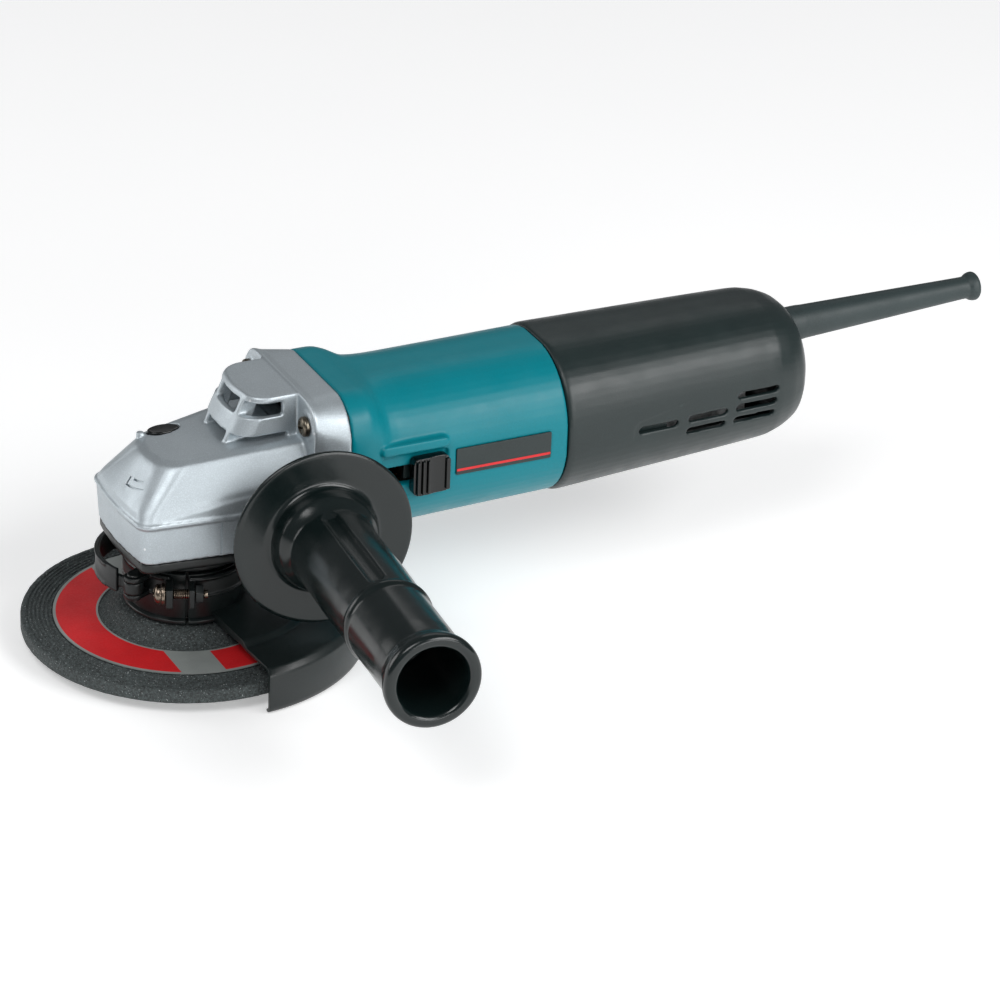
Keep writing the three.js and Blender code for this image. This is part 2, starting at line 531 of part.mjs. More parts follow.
for (const [name, side] of [['left', -1], ['right', 1]]) {
  const span = (from, to) => side < 0 ? [-to, -from] : [from, to];
  const holder = cut(box(139.6, 151.4, ...span(12.6, 24.7), 59.8, 70.2),
    box(141.2, 149.8, ...span(10, 23.4), 61.2, 68.8));
  add(`brush_holder_${name}`, holder, BRASS);
  add(`carbon_brush_${name}`, box(141.6, 149.4, ...span(11.3, 20), 61.6, 68.4), CARBON);
}

// ---- motor housing with slide switch ----
function motorHousing() {
  const shell = loft([
    section(JOINT_X + GAP, FLANGE.a, FLANGE.b, FLANGE.r, FLANGE.z),
    section(60.5, FLANGE.a, FLANGE.b, FLANGE.r, FLANGE.z),
    section(64.5, 32.9, 31, 20, 64.6),
    section(70, 32.6, 30.9, 28, 63.9),
    section(106, 32.5, 30.5, 27.8, 64.6),
    section(COVER_X - GAP, 32.4, 30.2, 27.5, 65.3),
  ]);
  const barrel = onMotorAxis(rod(27.4, 130, 178, 28));
  const ridge = slotCutter(64.5, 92.5, 75.3, 4, -34.6, -24);
  const bore = onMotorAxis(turned([[0, 40], [25.9, 40], [25.9, 53.4], [27.4, 53.4], [27.4, 131], [25.6, 131],
    [25.6, 156.4], [11.2, 156.4], [11.2, 168], [25.6, 168], [25.6, 190], [0, 190]], 28));
  const recess = box(65, 92.6, -40, -30.8, 53.6, 71.9);
  const passage = box(66, 190, -31.2, -24, 58.8, 66.8);
  const screwHoles = rodsAtScrews(2.8, 40, 60);
  const platePocket = box(95.7, 136.1, -40, -31.9, 59.6, 71);
  const coverScrew = rod(1.9, 20, 50, 8).translate(COVER_SCREW.x, 0, 0);
  const vents = [-18, 18].map((y) => box(156.4, 168, y - 1.2, y + 1.2, MOTOR_Z - 16, MOTOR_Z + 16));
  const openings = [bore, recess, passage, ...screwHoles, platePocket, coverScrew, ...vents];
  return cut(join(shell, barrel, ridge), ...openings);
}
add('motor_housing', motorHousing(), TEAL);
add('air_baffle', onMotorAxis(tube(17, 27.1, 67, 68.4, 32)), BLACK);
add('name_plate', box(96, 135.8, -32.9, -32.15, 59.9, 70.7), BLACK);

function switchKnob() {
  const body = slotBlock(77.2, 92.2, 55.2, 70.6);
  const ribs = [78.2, 80.4, 82.6].map((x) => box(x, x + 0.9, -36.6, -34, 56, 69.8));
  const scoop = rod(16, 54, 72, 40).translate(88, -50.6, 0);
  const back = box(90.4, 92, -36.2, -34, 56.4, 69.4);
  const tang = box(79, 88, -31.5, -29.9, 60.4, 65.2);
  return join(cut(body, scoop), ...ribs, back, tang);
}
function slotBlock(x0, x1, z0, z1) {
  const r = 2.2;
  const shape = new THREE.Shape();
  shape.absarc(x1 - r, z1 - r, r, 0, Math.PI / 2, false);
  shape.absarc(x0 + r, z1 - r, r, Math.PI / 2, Math.PI, false);
  shape.absarc(x0 + r, z0 + r, r, Math.PI, 1.5 * Math.PI, false);
  shape.absarc(x1 - r, z0 + r, r, 1.5 * Math.PI, 2 * Math.PI, false);
  return new THREE.ExtrudeGeometry(shape, { depth: 4, bevelEnabled: false, curveSegments: 3 })
    .rotateX(Math.PI / 2).translate(0, -31.2, 0);
}
add('switch_knob', switchKnob(), GLOSS_BLACK);
const switchLink = join(box(76, 186, -28.7, -27.4, 60.4, 66), box(184, 187.6, -28.7, -16.4, 61, 65));
add('switch_rod', cut(switchLink, box(90, 130, -29, -20, 62, 64)), BLACK);
add('switch_body', join(box(188, 230, -14, 14, 52, 76), box(188.4, 192, -16.2, -13, 58, 68)), ALUMINIUM);

// ---- rear cover, cord guard ----
const COVER_SECTIONS = [
  [COVER_X, 32.8, 30.2, 27.5, 65.3],
  [COVER_X + 1.6, 33.4, 30.8, 28, 65.3],
  [236, 29.8, 28.5, 26, 67.6],
  [243.5, 28.2, 27, 25.5, 67.8],
  [249.5, 25.2, 24.4, 23, 67.8],
  [253, 20.6, 20, 19, 67.8],
  [TAIL_X, 15, 14.6, 14, 67.6],
];
// Louvre rows, three steps down to the front: start, end and height.
const SLOT_ROWS = [[217.8, 236.2, 69.4], [217.2, 235.6, 64.3], [216.6, 235, 59.2], [196, 213.4, 63.9],
  [195.4, 212.8, 58.8], [174, 191.4, 63.3]];

function rearCover() {
  const wall = 2.6;
  const outer = loft(COVER_SECTIONS.map((s) => section(...s)));
  const hollow = loft([
    section(COVER_X - 1, 30.2, 28.6, 28.3, 65.4),
    section(186, 29.6, 28.4, 27.7, 65.9),
    ...COVER_SECTIONS.slice(2).map(([x, a, b, r, z]) => section(x - wall, a - wall, b - wall, r - wall, z)),
  ]);
  const slots = SLOT_ROWS.flatMap(([x0, x1, z]) => [
    slotCutter(x0, x1, z, 2.6, -40, -20),
    slotCutter(x0, x1, z, 2.6, 20, 40)]);
  const guardHole = tiltedOnCord(rod(7.3, -30, 30, 20));
  const screwHole = join(rod(2.3, 20, 50, 8), rod(4, 20, COVER_SCREW.z + GAP, 12));
  return cut(outer, hollow, ...slots, guardHole, screwHole.translate(COVER_SCREW.x, 0, 0));
}
// The cord leaves the upper half of the end face, rising slightly.
const tiltedOnCord = (geometry) => geometry.rotateY((90 - 1.6) * DEG).translate(TAIL_X, 0, 80.5);
add('rear_cover', rearCover(), BLACK);
add('cover_screw', machineScrew(3.5, 1.2, 1.6, 7).rotateX(Math.PI), DARK_STEEL)
  .position.set(COVER_SCREW.x, 0, COVER_SCREW.z);
add('cord_guard', tiltedOnCord(turned([[3.4, -13], [9, -13], [9, -9.6], [6.9, -9], [6.9, 5], [4.4, 80.5],
  [5.4, 82.4], [5.8, 84], [5.8, 85.4], [5, 86.2], [3.4, 86.2]], 20)), RUBBER);

// ---- side handle ----
function sideHandle() {
  const profile = [[0, 26.6], [4.3, 26.6], [4.3, GAP], [11, GAP], [11.6, 10.8], [34.4, 12.8], [35, 13.6],
    [34.4, 15], [21, 14.2], [20.6, 17], [19.6, 21], [17.6, 23.6], [16.3, 24.6], [16.6, 60], [16.3, 85.6],
    [17.2, 86.4], [17.2, 88.6], [16.1, 89.6], [15.8, 126.6], [17.4, 130], [18.3, 132.4], [18.2, 135],
    [17, 136.2], [14.4, 136.2], [13.3, 135], [13, 96], [0, 96]];
  const grip = turned(profile, 24);
  const grooves = ring(3, 95, (a) => box(15.6, 18, -2.8, 2.8, 27, 84).rotateZ(a * DEG));
  return cut(grip, ...grooves);
}
add('side_handle', onHandleAxis(sideHandle()), GLOSS_BLACK);
add('handle_stud', onHandleAxis(turned([[0, -12], [3.4, -12], [4, -11.2], [4, 25.6], [0, 25.6]], 14)), STEEL);

export default grinder;
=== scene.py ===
# Looks of the angle grinder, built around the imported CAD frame. Shapes are made in
# millimetres and turned into metres when they become Blender meshes.
import math
import random

import bmesh
import bpy
import numpy as np
from mathutils import Matrix, Vector


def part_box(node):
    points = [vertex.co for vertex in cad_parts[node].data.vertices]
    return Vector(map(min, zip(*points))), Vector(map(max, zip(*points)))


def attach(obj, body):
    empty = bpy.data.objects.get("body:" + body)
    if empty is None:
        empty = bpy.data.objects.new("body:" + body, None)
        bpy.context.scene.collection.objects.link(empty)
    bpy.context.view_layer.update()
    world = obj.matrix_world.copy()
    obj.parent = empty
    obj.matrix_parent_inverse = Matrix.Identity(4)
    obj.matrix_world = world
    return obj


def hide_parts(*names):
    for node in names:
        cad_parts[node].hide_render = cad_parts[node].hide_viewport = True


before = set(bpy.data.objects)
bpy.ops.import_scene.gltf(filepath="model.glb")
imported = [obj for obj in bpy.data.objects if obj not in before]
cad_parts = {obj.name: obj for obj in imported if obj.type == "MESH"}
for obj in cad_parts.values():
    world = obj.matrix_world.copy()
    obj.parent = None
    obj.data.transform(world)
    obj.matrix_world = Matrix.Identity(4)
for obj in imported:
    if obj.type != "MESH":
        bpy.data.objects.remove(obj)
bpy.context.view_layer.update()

MM = 0.001
MACHINE = "machine"
SPINDLE = "spindle_group"
GUARD = "guard_group"


def corners(node):
    """Lowest and highest corner of a CAD node, in millimetres."""
    low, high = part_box(node)
    return np.array(low) / MM, np.array(high) / MM


def centre_of(node):
    """Centre of a CAD node's box, in millimetres."""
    low, high = corners(node)
    return (low + high) / 2


# ---- driving dimensions, read from the frame ----
MOTOR_Z = centre_of("armature_shaft")[2]
WHEEL_R, _, HUB_TOP = corners("grinding_wheel")[1]
LABEL_R, _, LABEL_TOP = corners("wheel_label")[1]
JOINT_X = corners("gear_housing")[1][0]
CLAMP_Z = corners("guard_band")[0][2]
COVER_X, TAIL_X = (c[0] for c in corners("rear_cover"))
PLATE_LOW, PLATE_HIGH = corners("name_plate")
KNOB_LOW, KNOB_HIGH = corners("switch_knob")
BUTTON_LOW, BUTTON_HIGH = corners("shaft_lock_button")
GUARD_R = corners("wheel_guard")[1][0]
GUARD_FLOOR = corners("wheel_guard")[0][2]
PIVOT_X, PIVOT_Y, _ = centre_of("lever_pin")
PIN_X, PIN_Y, _ = centre_of("shaft_lock_pin")

# ---- driving dimensions of the looks ----
WHEEL_T = 5.5
HOUSING_Z = 41
FRONT_X = -28.6
FLANGE_X = 37.2
FLANGE = (33.5, 31, 16, 65.5)  # half width, half height, corner radius, centre height
FLANGE_SCREWS = [(-26.6, 88.6), (26.6, 88.6), (-26, 44.2), (26, 44.2)]  # y, z
PLATE_SCREWS = [(-22, -15.5), (-22, 15.5), (23, -20), (23, 20)]  # x, y
TOWER_TOP = 97.6
HANDLE = Vector((35.75, -34.6, 52.9))
HANDLE_AXIS = Vector((-0.0995, -1, 0.03)).normalized()
SLIT_ANGLE = -112  # of the slit in the guard's neck and clamp, in degrees about the spindle
CLAMP_H = 8.8
CLAMP_SCREW_R = 28
LEVER_PLACE = (-8, 3)  # centre of the lever's bend
LEVER_TIP = 115  # where the bend ends, in degrees about that centre
LEVER_EYE = (CLAMP_Z + 2.1, CLAMP_Z + 6.7)  # bottom and top
CORD_TILT = 1.6  # degrees
CORD_Z = 80.5


# ---- shapes: (points, faces) in millimetres ----
def fillet(points, radius, steps=4, closed=False):
    """Rounds the corners of a line of 2-D points."""
    points = [Vector(p) for p in points]
    out = []
    count = len(points)
    for i, p in enumerate(points):
        if not closed and i in (0, count - 1):
            out.append(tuple(p))
            continue
        before = points[i - 1]
        after = points[(i + 1) % count]
        reach = min(radius, (before - p).length * 0.45, (after - p).length * 0.45)
        start = p + (before - p).normalized() * reach
        end = p + (after - p).normalized() * reach
        for k in range(steps + 1):
            t = k / steps
            out.append(tuple(start * (1 - t) ** 2 + p * (2 * t * (1 - t)) + end * t ** 2))
    return out


def lathe(profile, segments=96, sweep=None):
    """Body turned about Z from [radius, height] pairs; sweep is a pair of angles in degrees."""
    off_axis = profile[0][0] > 1e-6
    start, end = sweep or (0, 360)
    full = sweep is None
    count = segments if full else segments + 1
    points = []
    faces = []
    rings = []
    for r, z in profile:
        if r < 1e-6:
            rings.append([len(points)] * count)
            points.append((0, 0, z))
            continue
        ring = []
        for i in range(count):
            t = math.radians(start + (end - start) * i / segments)
            ring.append(len(points))
            points.append((r * math.cos(t), r * math.sin(t), z))
        rings.append(ring)
    pairs = list(zip(rings, rings[1:]))
    if off_axis:
        pairs.append((rings[-1], rings[0]))
    for low, high in pairs:
        for i in range(count if full else count - 1):
            j = (i + 1) % count
            corners_of_face = [low[i], low[j], high[j], high[i]]
            face = [v for k, v in enumerate(corners_of_face) if v != corners_of_face[k - 1]]
            if len(face) > 2:
                faces.append(face)
    if not full:
        faces.append([ring[0] for ring in rings][::-1])
        faces.append([ring[-1] for ring in rings])
    return points, faces


def rod(r, z0, z1, segments=48, edge=0.0):
    profile = [(0, z0), (r, z0), (r, z1), (0, z1)]
    return lathe(fillet(profile, edge) if edge else profile, segments)


def tube(r0, r1, z0, z1, segments=96, edge=0.0):
    profile = [(r0, z0), (r1, z0), (r1, z1), (r0, z1)]
    return lathe(fillet(profile, edge, closed=True) if edge else profile, segments)


def loft(rings):
    count = len(rings[0])
    points = [tuple(p) for ring in rings for p in ring]
    faces = []
    for k in range(len(rings) - 1):
        for i in range(count):
            a = k * count + i
            b = k * count + (i + 1) % count
            faces.append([a, b, b + count, a + count])
    last = (len(rings) - 1) * count
    faces.append(list(range(count))[::-1])
    faces.append(list(range(last, last + count)))
    return points, faces


def prism(outline, z0, z1):
    return loft([[(x, y, z0) for x, y in outline], [(x, y, z1) for x, y in outline]])


def box(x0, x1, y0, y1, z0, z1):
    return prism([(x0, y0), (x1, y0), (x1, y1), (x0, y1)], z0, z1)


def moved(shape, x=0, y=0, z=0):
    points, faces = shape
    return [(a + x, b + y, c + z) for a, b, c in points], faces


def placed(shape, matrix):
    points, faces = shape
    return [tuple(matrix @ Vector(p)) for p in points], faces


def turned(shape, axis, degrees):
    return placed(shape, Matrix.Rotation(math.radians(degrees), 4, axis))


def on_motor_axis(shape):
    return moved(turned(shape, "Y", 90), z=MOTOR_Z)


def polar(r, degrees):
    t = math.radians(degrees)
    return r * math.cos(t), r * math.sin(t)


def to_outward(shape):
    """The same shape with its faces pointing out."""
    points, faces = shape
    volume = 0.0
    for face in faces:
        a = Vector(points[face[0]])
        for k in range(1, len(face) - 1):
            volume += a.dot(Vector(points[face[k]]).cross(Vector(points[face[k + 1]])))
    return (points, faces) if volume > 0 else (points, [face[::-1] for face in faces])


def joined(shapes):
    """One shape of several solids, each with its faces pointing out."""
    points = []
    faces = []
    for shape in shapes:
        more_points, more_faces = to_outward(shape)
        start = len(points)
        points.extend(more_points)
        faces.extend([[v + start for v in face] for face in more_faces])
    return points, faces


def ring_of(count, start=0):
    return [start + i * 360 / count for i in range(count)]


def handle_frame(side=-1):
    """Turns local Z onto the handle's axis, on the -Y side or mirrored on the +Y side."""
    axis = Vector((HANDLE_AXIS.x, -side * HANDLE_AXIS.y, HANDLE_AXIS.z))
    turn = Vector((0, 0, 1)).rotation_difference(axis).to_matrix().to_4x4()
    return Matrix.Translation(Vector((HANDLE.x, -side * HANDLE.y, HANDLE.z))) @ turn


def between(a, b, t):
    return [p * (1 - t) + q * t for p, q in zip(a, b)]


def softened(levels, index, width=0.4, steps=4):
    """Replaces one level of a loft by a few on a curve, so that its edge is rounded."""
    before = between(levels[index], levels[index - 1], width)
    after = between(levels[index], levels[index + 1], width)
    middle = levels[index]
    curve = []
    for k in range(steps + 1):
        t = k / steps
        curve.append([a * (1 - t) ** 2 + 2 * m * t * (1 - t) + b * t ** 2
                      for a, m, b in zip(before, middle, after)])
    return levels[:index] + curve + levels[index + 1:]


def section(x, a, b, r, z, steps=14):
    """Rounded square across X: half width a, half height b, corner radius r, centre height z."""
    ring = []
    for quarter in range(4):
        sy = 1 if quarter in (0, 3) else -1
        sz = 1 if quarter < 2 else -1
        for i in range(steps + 1):
            t = math.radians(quarter * 90 + i * 90 / steps)
            ring.append((x, sy * (a - r) + r * math.cos(t), z + sz * (b - r) + r * math.sin(t)))
    return ring


def head_ring(nose, half, flare, height, rise=0, corner=5, grow=0, rear=46):
    """Head outline seen from above: bowed nose, two rounded corners, sides that flare to the rear."""
    bow = 1.3 * half / 24
    cx = nose + bow + corner
    cy = half - corner
    side = [(nose - grow + bow * f * f, cy * f) for f in (0.3, 0.6, 0.85)]
    for i in range(9):
        t = math.radians(180 - 11.25 * i)
        side.append((cx + (corner + grow) * math.cos(t), cy + (corner + grow) * math.sin(t)))
    side.append((rear, half + grow + flare * (rear - cx)))
    plan = [(nose - grow, 0)] + side + [(x, -y) for x, y in reversed(side)]
    return [(x, y, height + rise * (x + 20)) for x, y in reversed(plan)]


def slot_shape(x0, x1, z, height, y0, y1, slant=0.0):
    """Long body with round ends, from y0 to y1; slant leans its ends over."""
    r = height / 2
    outline = []
    for i in range(13):
        t = math.radians(-90 + 15 * i)
        outline.append((x1 - r + r * math.cos(t), r * math.sin(t)))
    for i in range(13):
        t = math.radians(90 + 15 * i)
        outline.append((x0 + r + r * math.cos(t), r * math.sin(t)))
    rings = [[(x + slant * h, y, z + h) for x, h in outline] for y in (y0, y1)]
    return loft(rings)


# ---- Blender objects ----
def to_object(name, shape):
    points, faces = shape
    mesh = bpy.data.meshes.new(name)
    mesh.from_pydata([(x * MM, y * MM, z * MM) for x, y, z in points], [], faces)
    bm = bmesh.new()
    bm.from_mesh(mesh)
    bmesh.ops.recalc_face_normals(bm, faces=bm.faces)
    if bm.calc_volume(signed=True) < 0:
        bmesh.ops.reverse_faces(bm, faces=bm.faces)
    bm.to_mesh(mesh)
    bm.free()
    obj = bpy.data.objects.new(name, mesh)
    bpy.context.scene.collection.objects.link(obj)
    return obj


def settle(obj):
    """Applies the modifiers of an object to its mesh."""
    bpy.context.view_layer.update()
    evaluated = obj.evaluated_get(bpy.context.evaluated_depsgraph_get())
    mesh = bpy.data.meshes.new_from_object(evaluated)
    old = obj.data
    obj.modifiers.clear()
    obj.data = mesh
    bpy.data.meshes.remove(old)
    return obj


def remesh(obj, voxel):
    modifier = obj.modifiers.new("voxels", "REMESH")
    modifier.mode = "VOXEL"
    modifier.voxel_size = voxel * MM
    return settle(obj)


def carve(obj, cutters, operation="DIFFERENCE"):
    """Cuts each solid out of an object, or with INTERSECT keeps only what lies inside it."""
    for shape in cutters:
        tool = to_object("tool", to_outward(shape))
        modifier = obj.modifiers.new("carve", "BOOLEAN")
        modifier.operation = operation
        modifier.solver = "MANIFOLD"
        modifier.object = tool
        settle(obj)
        bpy.data.objects.remove(tool)
    return obj


def smoothed(obj, iterations):
    modifier = obj.modifiers.new("soft", "SMOOTH")
    modifier.factor = 0.5
    modifier.iterations = iterations
    return settle(obj)


def cast(name, adds, cuts, voxel, soften):
    """One moulded body: overlapping solids grown together, cut, and its edges softened."""
    obj = remesh(to_object(name, joined(adds)), voxel)
    remesh(carve(obj, cuts), voxel)
    return smoothed(obj, soften)


def merge(obj, extra):
    """Adds another object's mesh to obj's mesh."""
    bm = bmesh.new()
    bm.from_mesh(obj.data)
    bm.from_mesh(extra.data)
    bm.to_mesh(obj.data)
    bm.free()
    bpy.data.objects.remove(extra)


def piece(obj, material, body, replaces, angle=35):
    """Gives a finished mesh its material, smooth shading and body, and hides the CAD node it replaces."""
    obj.data.materials.clear()
    for m in material if isinstance(material, list) else [material]:
        obj.data.materials.append(m)
    obj.data.shade_smooth()
    obj.data.set_sharp_from_angle(angle=math.radians(angle))
    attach(obj, body)
    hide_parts(replaces)
    return obj


def add_bevel(obj, width, segments, angle):
    modifier = obj.modifiers.new("edges", "BEVEL")
    modifier.width = width * MM
    modifier.segments = segments
    modifier.limit_method = "ANGLE"
    modifier.angle_limit = math.radians(angle)


def bevelled(obj, width, segments=3, angle=30):
    add_bevel(obj, width, segments, angle)
    return settle(obj)


# ---- materials ----
class Nodes:
    """Short names for building one material's node tree."""

    def __init__(self, name):
        self.material = bpy.data.materials.new(name)
        self.material.use_nodes = True
        self.tree = self.material.node_tree
        self.shader = self.tree.nodes["Principled BSDF"]
        self.place = self.add("ShaderNodeTexCoord").outputs["Object"]

    def add(self, kind, **settings):
        node = self.tree.nodes.new(kind)
        for key, value in settings.items():
            setattr(node, key, value)
        return node

    def link(self, source, target):
        self.tree.links.new(source, target)

    def noise(self, scale, detail=4, roughness=0.55, stretch=None):
        node = self.add("ShaderNodeTexNoise")
        node.inputs["Scale"].default_value = scale
        node.inputs["Detail"].default_value = detail
        node.inputs["Roughness"].default_value = roughness
        source = self.place
        if stretch:
            mapping = self.add("ShaderNodeMapping")
            mapping.inputs["Scale"].default_value = stretch
            self.link(source, mapping.inputs["Vector"])
            source = mapping.outputs["Vector"]
        self.link(source, node.inputs["Vector"])
        return node.outputs["Fac"]

    def ramp(self, source, low, high, start=0.0, end=1.0):
        node = self.add("ShaderNodeMapRange")
        node.inputs["From Min"].default_value = low
        node.inputs["From Max"].default_value = high
        node.inputs["To Min"].default_value = start
        node.inputs["To Max"].default_value = end
        self.link(source, node.inputs["Value"])
        return node.outputs["Result"]

    def multiply(self, a, b):
        node = self.add("ShaderNodeMath", operation="MULTIPLY")
        self.link(a, node.inputs[0])
        self.link(b, node.inputs[1])
        return node.outputs[0]

    def mix(self, factor, a, b):
        """Colour a where factor is 0 and b where it is 1; each is a colour or a socket."""
        node = self.add("ShaderNodeMix", data_type="RGBA")
        self.link(factor, node.inputs["Factor"])
        for value, socket in ((a, node.inputs[6]), (b, node.inputs[7])):
            if isinstance(value, (tuple, list)):
                socket.default_value = (*value, 1)
            else:
                self.link(value, socket)
        return node.outputs[2]

    def bump(self, height, distance, strength=1.0, after=None):
        node = self.add("ShaderNodeBump")
        node.inputs["Strength"].default_value = strength
        node.inputs["Distance"].default_value = distance * MM
        self.link(height, node.inputs["Height"])
        if after is not None:
            self.link(after, node.inputs["Normal"])
        return node.outputs["Normal"]

    def edges(self, low, high):
        """1 on outer edges of the mesh, 0 elsewhere."""
        return self.ramp(self.add("ShaderNodeNewGeometry").outputs["Pointiness"], low, high)


def shade(color, factor):
    return tuple(c * factor for c in color)


def moulded(name, color, rough, grain, depth, spread=0.12, edge_wear_and_highlight=1.35, shine=0.5):
    """Moulded or painted surface: cloudy colour, fine grain, uneven gloss, edges painted lighter as rubbed
    wear and as a painted highlight.
    """
    n = Nodes(name)
    cloud = n.ramp(n.noise(38, 5), 0.3, 0.7)
    colour = n.mix(cloud, shade(color, 1 - spread), shade(color, 1 + spread))
    speck = n.noise(grain, 3, 0.6)
    colour = n.mix(n.ramp(speck, 0.35, 0.75), colour, shade(color, 1 + spread * 1.5))
    # edges painted lighter: partly rubbed wear, partly a painted highlight
    lighter_edges = n.multiply(n.edges(0.53, 0.6), n.ramp(n.noise(160, 4), 0.4, 0.65))
    n.link(n.mix(lighter_edges, colour, shade(color, edge_wear_and_highlight)), n.shader.inputs["Base Color"])
    n.link(n.ramp(n.noise(120, 6), 0.25, 0.75, rough - 0.07, rough + 0.08), n.shader.inputs["Roughness"])
    n.shader.inputs["Specular IOR Level"].default_value = shine
    wave = n.bump(n.noise(55, 2), 0.06, 0.5)
    n.link(n.bump(speck, depth, 0.8, wave), n.shader.inputs["Normal"])
    return n.material


def machined(name, color, rough):
    """Bare metal with fine marks, a darker film and uneven shine."""
    n = Nodes(name)
    n.shader.inputs["Metallic"].default_value = 1.0
    marks = n.noise(900, 4, 0.6)
    film = n.ramp(n.noise(120, 5), 0.4, 0.7)
    colour = n.mix(film, color, shade(color, 0.55))
    n.link(n.mix(n.ramp(marks, 0.35, 0.7), colour, shade(color, 1.12)), n.shader.inputs["Base Color"])
    n.link(n.ramp(n.noise(300, 5), 0.3, 0.7, rough - 0.08, rough + 0.14), n.shader.inputs["Roughness"])
    n.link(n.bump(marks, 0.03, 0.6), n.shader.inputs["Normal"])
    return n.material


def abrasive(name, color):
    """Bonded grit: coarse dark grains with small bright crystals, their glints painted in as highlights."""
    n = Nodes(name)
    cells = n.add("ShaderNodeTexVoronoi")
    cells.inputs["Scale"].default_value = 1100
    n.link(n.place, cells.inputs["Vector"])
    grit = n.noise(1000, 6, 0.75)
    colour = n.mix(n.ramp(grit, 0.38, 0.66), shade(color, 0.3), shade(color, 1.9))
    # bright specks: lighter crystals, partly painted glints of light
    glints = n.ramp(n.noise(1900, 2, 0.5), 0.66, 0.73)
    n.link(n.mix(glints, colour, (0.42, 0.45, 0.45)), n.shader.inputs["Base Color"])
    n.link(n.ramp(grit, 0.3, 0.7, 0.6, 0.95), n.shader.inputs["Roughness"])
    lumps = n.bump(cells.outputs["Distance"], 0.5, 0.7)
    n.link(n.bump(grit, 0.35, 0.8, lumps), n.shader.inputs["Normal"])
    return n.material


def printed(name, color):
    """Printed paper glued on grit: the grit shows through as a fine bump."""
    n = Nodes(name)
    grit = n.noise(1300, 5, 0.65)
    cloud = n.ramp(n.noise(60, 5), 0.3, 0.7)
    n.link(n.mix(cloud, shade(color, 0.85), shade(color, 1.1)), n.shader.inputs["Base Color"])
    n.link(n.ramp(grit, 0.3, 0.7, 0.42, 0.62), n.shader.inputs["Roughness"])
    n.link(n.bump(grit, 0.12, 0.5), n.shader.inputs["Normal"])
    return n.material


def cast_paint(name, color):
    """Metallic paint on a casting: fine flake, slight orange peel, bright rubbed edges."""
    n = Nodes(name)
    flake = n.noise(2400, 2, 0.5)
    cloud = n.ramp(n.noise(45, 4), 0.3, 0.7)
    colour = n.mix(cloud, shade(color, 0.94), shade(color, 1.04))
    colour = n.mix(n.ramp(flake, 0.45, 0.7), colour, shade(color, 1.18))
    lighter_edges = n.multiply(n.edges(0.54, 0.62), n.ramp(n.noise(210, 4), 0.35, 0.6))
    n.link(n.mix(lighter_edges, colour, (0.78, 0.8, 0.82)), n.shader.inputs["Base Color"])
    n.shader.inputs["Metallic"].default_value = 0.72
    n.link(n.ramp(n.noise(160, 5), 0.3, 0.7, 0.4, 0.5), n.shader.inputs["Roughness"])
    n.shader.inputs["Coat Weight"].default_value = 0.08
    n.shader.inputs["Coat Roughness"].default_value = 0.2
    peel = n.bump(n.noise(420, 3, 0.5), 0.05, 0.5)
    n.link(n.bump(flake, 0.012, 0.6, peel), n.shader.inputs["Normal"])
    return n.material


def laminated(name, color):
    """Stack of thin steel sheets along the motor axis."""
    n = Nodes(name)
    wave = n.add("ShaderNodeTexWave", bands_direction="X")
    wave.inputs["Scale"].default_value = 320
    n.link(n.place, wave.inputs["Vector"])
    n.link(n.mix(wave.outputs["Fac"], shade(color, 0.5), shade(color, 1.2)), n.shader.inputs["Base Color"])
    n.shader.inputs["Metallic"].default_value = 0.9
    n.link(n.ramp(n.noise(300), 0.3, 0.7, 0.35, 0.6), n.shader.inputs["Roughness"])
    n.link(n.bump(wave.outputs["Fac"], 0.1, 0.8), n.shader.inputs["Normal"])
    return n.material


def wound(name, color):
    """Enamelled wire: strands along X with a varnish shine."""
    n = Nodes(name)
    strands = n.noise(1400, 3, 0.5, (0.06, 1, 1))
    n.link(n.mix(n.ramp(strands, 0.35, 0.65), shade(color, 0.4), color), n.shader.inputs["Base Color"])
    n.shader.inputs["Metallic"].default_value = 0.8
    n.shader.inputs["Coat Weight"].default_value = 0.5
    n.link(n.ramp(n.noise(200), 0.3, 0.7, 0.25, 0.45), n.shader.inputs["Roughness"])
    n.link(n.bump(strands, 0.25, 0.8), n.shader.inputs["Normal"])
    return n.material


SILVER = cast_paint("silver_paint", (0.45, 0.5, 0.53))
# the edge factor paints edges lighter: rubbed wear plus a painted highlight, strongest on the grip
TEAL = moulded("teal_plastic", (0.0, 0.175, 0.215), 0.36, 1500, 0.02, spread=0.06, edge_wear_and_highlight=1.5, shine=0.28)
COVER = moulded("cover_plastic", (0.009, 0.017, 0.017), 0.37, 1900, 0.06, spread=0.2, edge_wear_and_highlight=1.8)
GRIP = moulded("grip_plastic", (0.004, 0.008, 0.008), 0.19, 2200, 0.02, spread=0.15, edge_wear_and_highlight=3)
KNOB = moulded("knob_plastic", (0.002, 0.003, 0.003), 0.14, 1800, 0.01, spread=0.15)
BLACK_PAINT = moulded("black_paint", (0.006, 0.01, 0.01), 0.33, 1300, 0.02, spread=0.15)
BLACK_STEEL = moulded("black_coated_steel", (0.004, 0.006, 0.006), 0.36, 1500, 0.03)
RUBBER = moulded("rubber", (0.02, 0.032, 0.033), 0.5, 1700, 0.04, spread=0.2)
STEEL = machined("steel", (0.55, 0.54, 0.52), 0.3)
DARK_STEEL = machined("dark_steel", (0.16, 0.14, 0.11), 0.3)
CLAMP_STEEL = machined("clamp_steel", (0.26, 0.21, 0.165), 0.25)
ALUMINIUM = machined("aluminium", (0.62, 0.63, 0.64), 0.42)
BRASS = machined("brass", (0.62, 0.44, 0.16), 0.3)
COPPER = wound("copper", (0.62, 0.25, 0.08))
CARBON = moulded("carbon", (0.012, 0.012, 0.012), 0.6, 1500, 0.05)
PALE = moulded("pale_plastic", (0.6, 0.57, 0.48), 0.45, 1500, 0.03)
